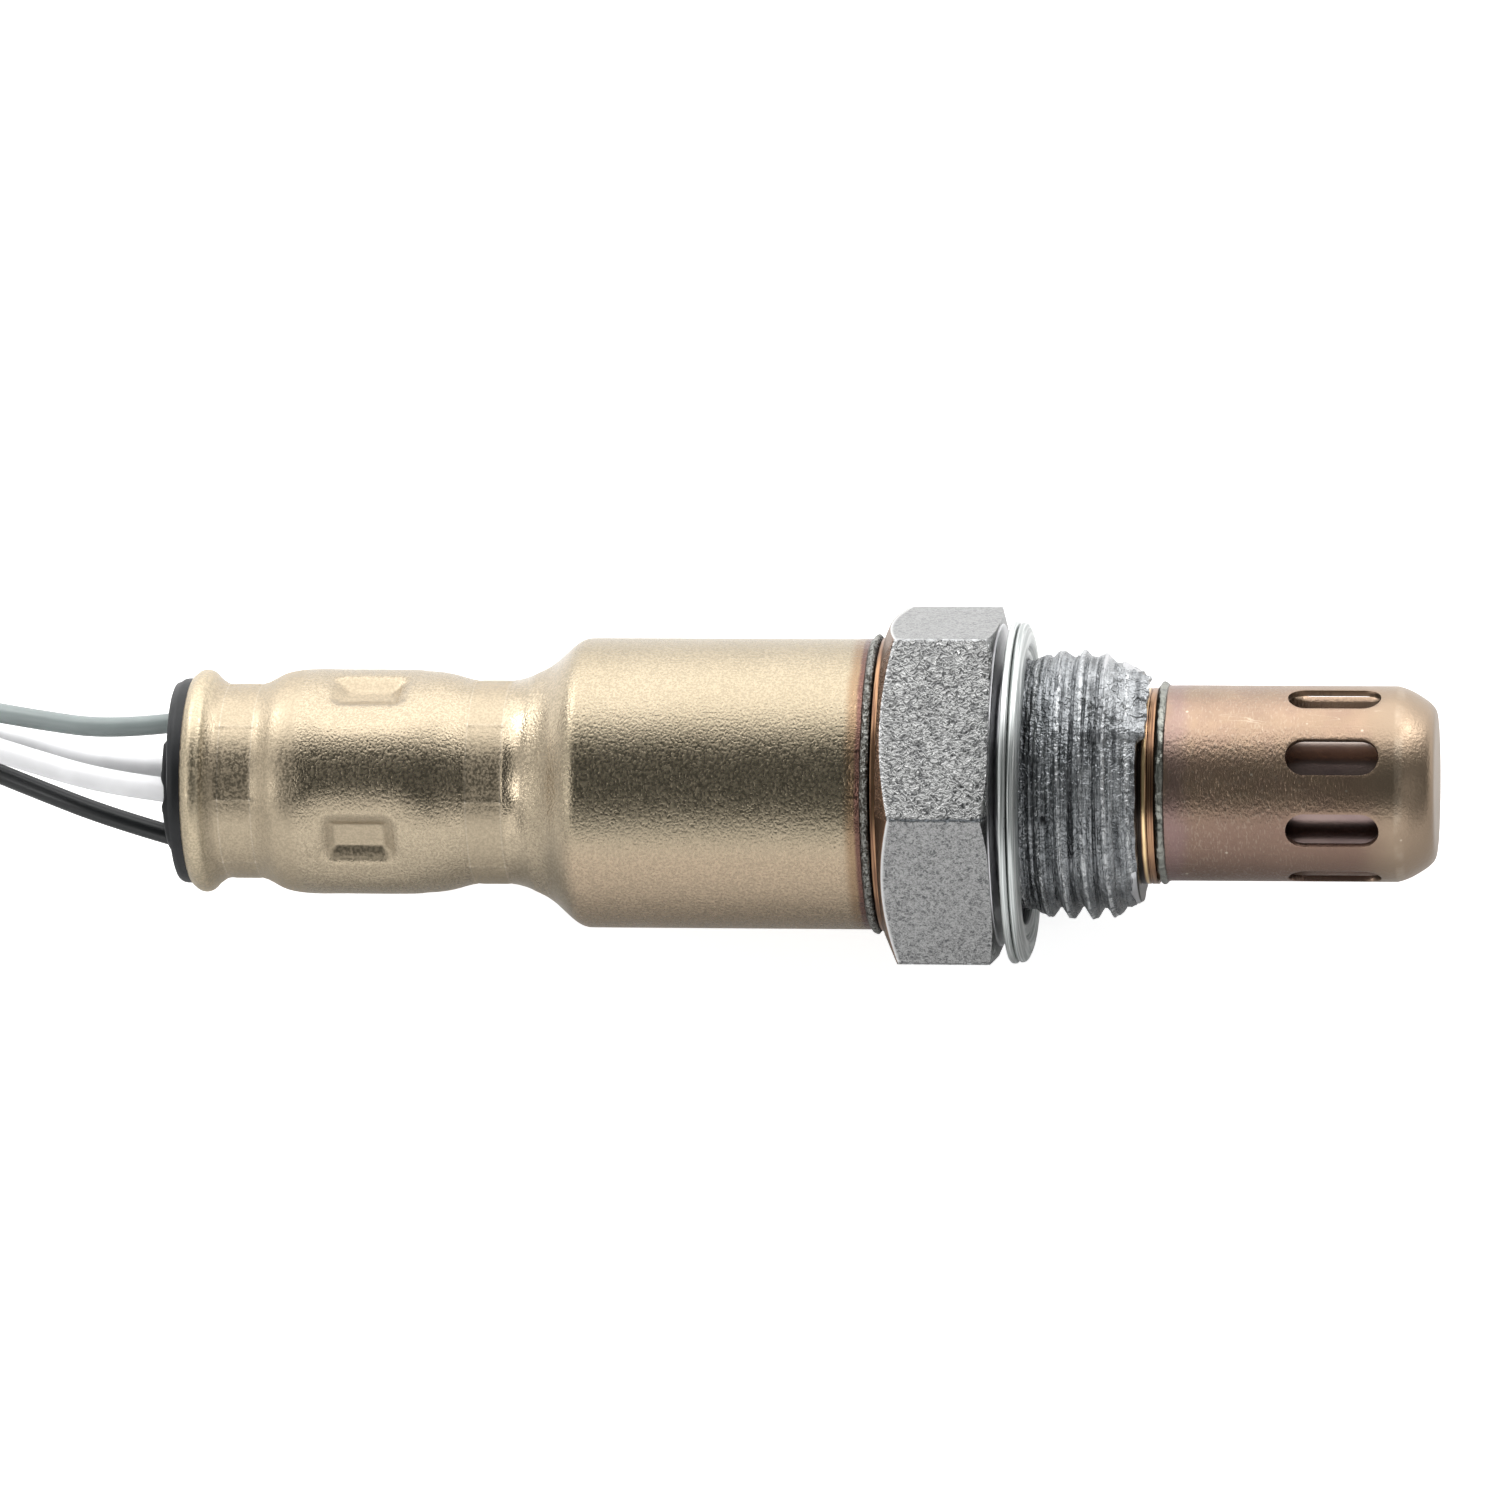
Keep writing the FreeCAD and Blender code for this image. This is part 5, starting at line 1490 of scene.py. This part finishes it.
@dataclass
class Studio:
    """Camera, lamps, floor and world, in metres."""

    target_x: float = -0.0171
    lift: float = 0.00225
    distance: float = 0.715
    lens: float = 255.7
    roll: float = 0.3
    toward: Place = (0.1132, -0.3300, 0.9370)
    image_up: Place = (0.0, 0.943, 0.332)
    floor_z: float = -0.011
    sensor_width: float = 36.0
    clip_start: float = 0.01
    box_length: float = 1.8
    lamp_distance: float = 0.75
    window_lights: tuple[tuple[float, float, float, float], ...] = (
        (50, -10, 0.12, 0.24), (49, -7, 0.34, 0.22), (-50, -5, 0.34, 0.22), (40, 82, 0.12, 0.55),
        (-40, 82, 0.12, 0.55))
    panel_size: Point = (1.2, 1.0)
    panel_lift: float = 0.45
    floor_half: float = 2.5
    floor_glow: float = 0.72
    room_light: float = 0.112

    def camera(self) -> None:
        """Sets the camera at the photograph's place."""
        back = Vector(self.toward).normalized()
        up = Vector(self.image_up)
        up = (up - back * up.dot(back)).normalized()
        right = up.cross(back)
        roll = math.radians(self.roll)
        up, right = up * math.cos(roll) - right * math.sin(roll), right * math.cos(roll) + up * math.sin(roll)
        target = Vector((self.target_x, 0, 0)) + up * self.lift
        data = bpy.data.cameras.new("camera")
        set_all(data, lens=self.lens, sensor_width=self.sensor_width, clip_start=self.clip_start)
        camera = add_object("camera", data)
        camera.matrix_world = set_axes(target + back * self.distance, right, up, back)
        bpy.context.scene.camera = camera

    def direction(self, turn: float) -> Vector:
        """Direction at an angle from the camera's, in the plane across the sensor."""
        back = Vector((0.0, self.toward[1], self.toward[2])).normalized()
        up = Vector(self.image_up).normalized()
        return back * math.cos(math.radians(turn)) + up * math.sin(math.radians(turn))

    @staticmethod
    def hang(name: str, place: Vector, away: Vector, side: Vector, size: Point, power: float) -> None:
        """Hangs a rectangular lamp.

        Args:
            name: The lamp's name.
            place: Its centre, in metres.
            away: Direction that it shines from.
            side: Direction of its first edge.
            size: Lengths of its two edges, in metres.
            power: Its power in watts.
        """
        data = bpy.data.lights.new(name, "AREA")
        set_all(data, shape="RECTANGLE", size=size[0], size_y=size[1], energy=power)
        add_object(data.name, data).matrix_world = set_axes(place, side, away.cross(side), away)

    def aimed(self, away: Vector) -> Vector:
        """Place of a lamp in a direction from the camera's target."""
        return Vector((self.target_x, 0, 0)) + away * self.lamp_distance

    def soft_box(self, side: Side, first: float, last: float, power: float) -> None:
        """Hangs a long soft box that fills the angles from first to last.

        Args:
            side: Above or below the camera in the image.
            first: Angle from the camera where the box starts.
            last: Angle where it ends.
            power: Its power in watts.
        """
        middle = self.direction(side.value * (first + last) / 2)
        width = 2 * self.lamp_distance * math.tan(math.radians((last - first) / 2))
        self.hang("soft_box_" + side.name.lower(), self.aimed(middle), middle, Vector((1, 0, 0)),
                  (self.box_length, width), power)

    def window_light(self, lean: float, turn: float, size: float, power: float) -> None:
        """Hangs a small square lamp whose glint shows on the shoulders.

        Args:
            lean: Angle in degrees from the plane across the sensor towards its rear.
            turn: Angle from the camera in that plane.
            size: Side of the lamp, in metres.
            power: Its power in watts.
        """
        lean = math.radians(lean)
        away = self.direction(turn) * math.cos(lean) - Vector((1, 0, 0)) * math.sin(lean)
        side = away.cross(self.direction(turn + 90)).normalized()
        self.hang("window_light", self.aimed(away), away, side, (size, size), power)

    def end_panel(self, x: float, power: float) -> None:
        """Stands a soft panel past an end of the sensor, at a place along its axis in metres, facing it."""
        away = Vector((math.copysign(1.0, x), 0.0, self.panel_lift)).normalized()
        side = Vector((0, 0, 1)).cross(away).normalized()
        self.hang("end_panel", away * abs(x), away, side, self.panel_size, power)

    def floor(self) -> None:
        """Lays a pale floor that the camera sees as white, with the object's shadow; reflections see it white on its
        far side and dimmer close to the object on its near side, a painted shade.
        """
        bm = bmesh.new()
        bmesh.ops.create_grid(bm, x_segments=4, y_segments=4, size=self.floor_half)
        bmesh.ops.translate(bm, vec=(0, 0, self.floor_z), verts=bm.verts)
        mesh = to_mesh(bm, "floor")
        floor = add_object("floor", mesh)
        material = bpy.data.materials.new("pale_floor")
        material.use_nodes = True
        nodes = Nodes(material.node_tree)
        shader = material.node_tree.nodes["Principled BSDF"]
        nodes.give(shader.inputs["Base Color"], (0.82, 0.82, 0.82))
        nodes.give(shader.inputs["Roughness"], 0.9)
        path = nodes.add("LightPath").outputs
        across = Value(nodes.add("SeparateXYZ", {0: nodes.value("TexCoord", output="Object")}).outputs[1])
        # Reflections see less glow close to the object on the floor's near side: painted shade.
        far = most(across.ramp(-0.004, 0.030, 0.08, 1.0), across.ramp(-0.022, -0.050, 0.06, 0.50))
        mirrored = most(Value(path["Is Glossy Ray"]), Value(path["Is Transmission Ray"]))
        seen = most(Value(path["Is Camera Ray"]), mirrored * far)
        glow = nodes.value("Emission", {"Color": (1.0, 1.0, 1.0), "Strength": self.floor_glow})
        both = nodes.value("AddShader", {0: shader.outputs[0], 1: glow})
        plain = nodes.value("MixShader", {0: seen, 1: shader.outputs[0], 2: both})
        nodes.give(material.node_tree.nodes["Material Output"].inputs[0], plain)
        mesh.materials.append(material)

    def world(self) -> None:
        """Fills the room with soft even light, white where the camera looks past the floor."""
        world = bpy.data.worlds.new("room")
        world.use_nodes = True
        bpy.context.scene.world = world
        nodes = Nodes(world.node_tree)
        background = world.node_tree.nodes["Background"]
        seen = nodes.value("LightPath", output="Is Camera Ray")
        nodes.give(background.inputs["Strength"], seen * (1.0 - self.room_light) + self.room_light)
        nodes.give(background.inputs["Color"], seen.mix((0.95, 1.0, 0.97), (1.0, 1.0, 1.0)))

    def build(self) -> None:
        """Sets up the whole studio."""
        self.camera()
        self.soft_box(Side.ABOVE, 47, 112, 14.4)
        self.soft_box(Side.BELOW, 35, 69, 3.7)
        for light in self.window_lights:
            self.window_light(*light)
        self.end_panel(-0.95, 3.0)
        self.floor()
        self.world()
        bpy.context.scene.view_settings.view_transform = "Standard"


def main() -> None:
    """Builds and dresses every sub-assembly, then the studio."""
    logging.basicConfig(level=logging.INFO, format="%(name)s: %(message)s")
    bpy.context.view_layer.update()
    finishes = Finishes.build()
    harness = Harness()
    harness.leads(finishes)
    harness.sleeve(finishes)
    harness.dress(finishes)
    RearCover().build(finishes)
    Grommet().build(finishes, harness.seats())
    shell = Shell()
    shell.hexagon(finishes)
    shell.turned_front(finishes)
    shell.weld_ring(finishes)
    Paste(shell).build(finishes)
    Gasket().build(finishes)
    OuterShield().build(finishes)
    Inside().dress(finishes)
    Studio().build()


if __name__ == "__main__":
    main()
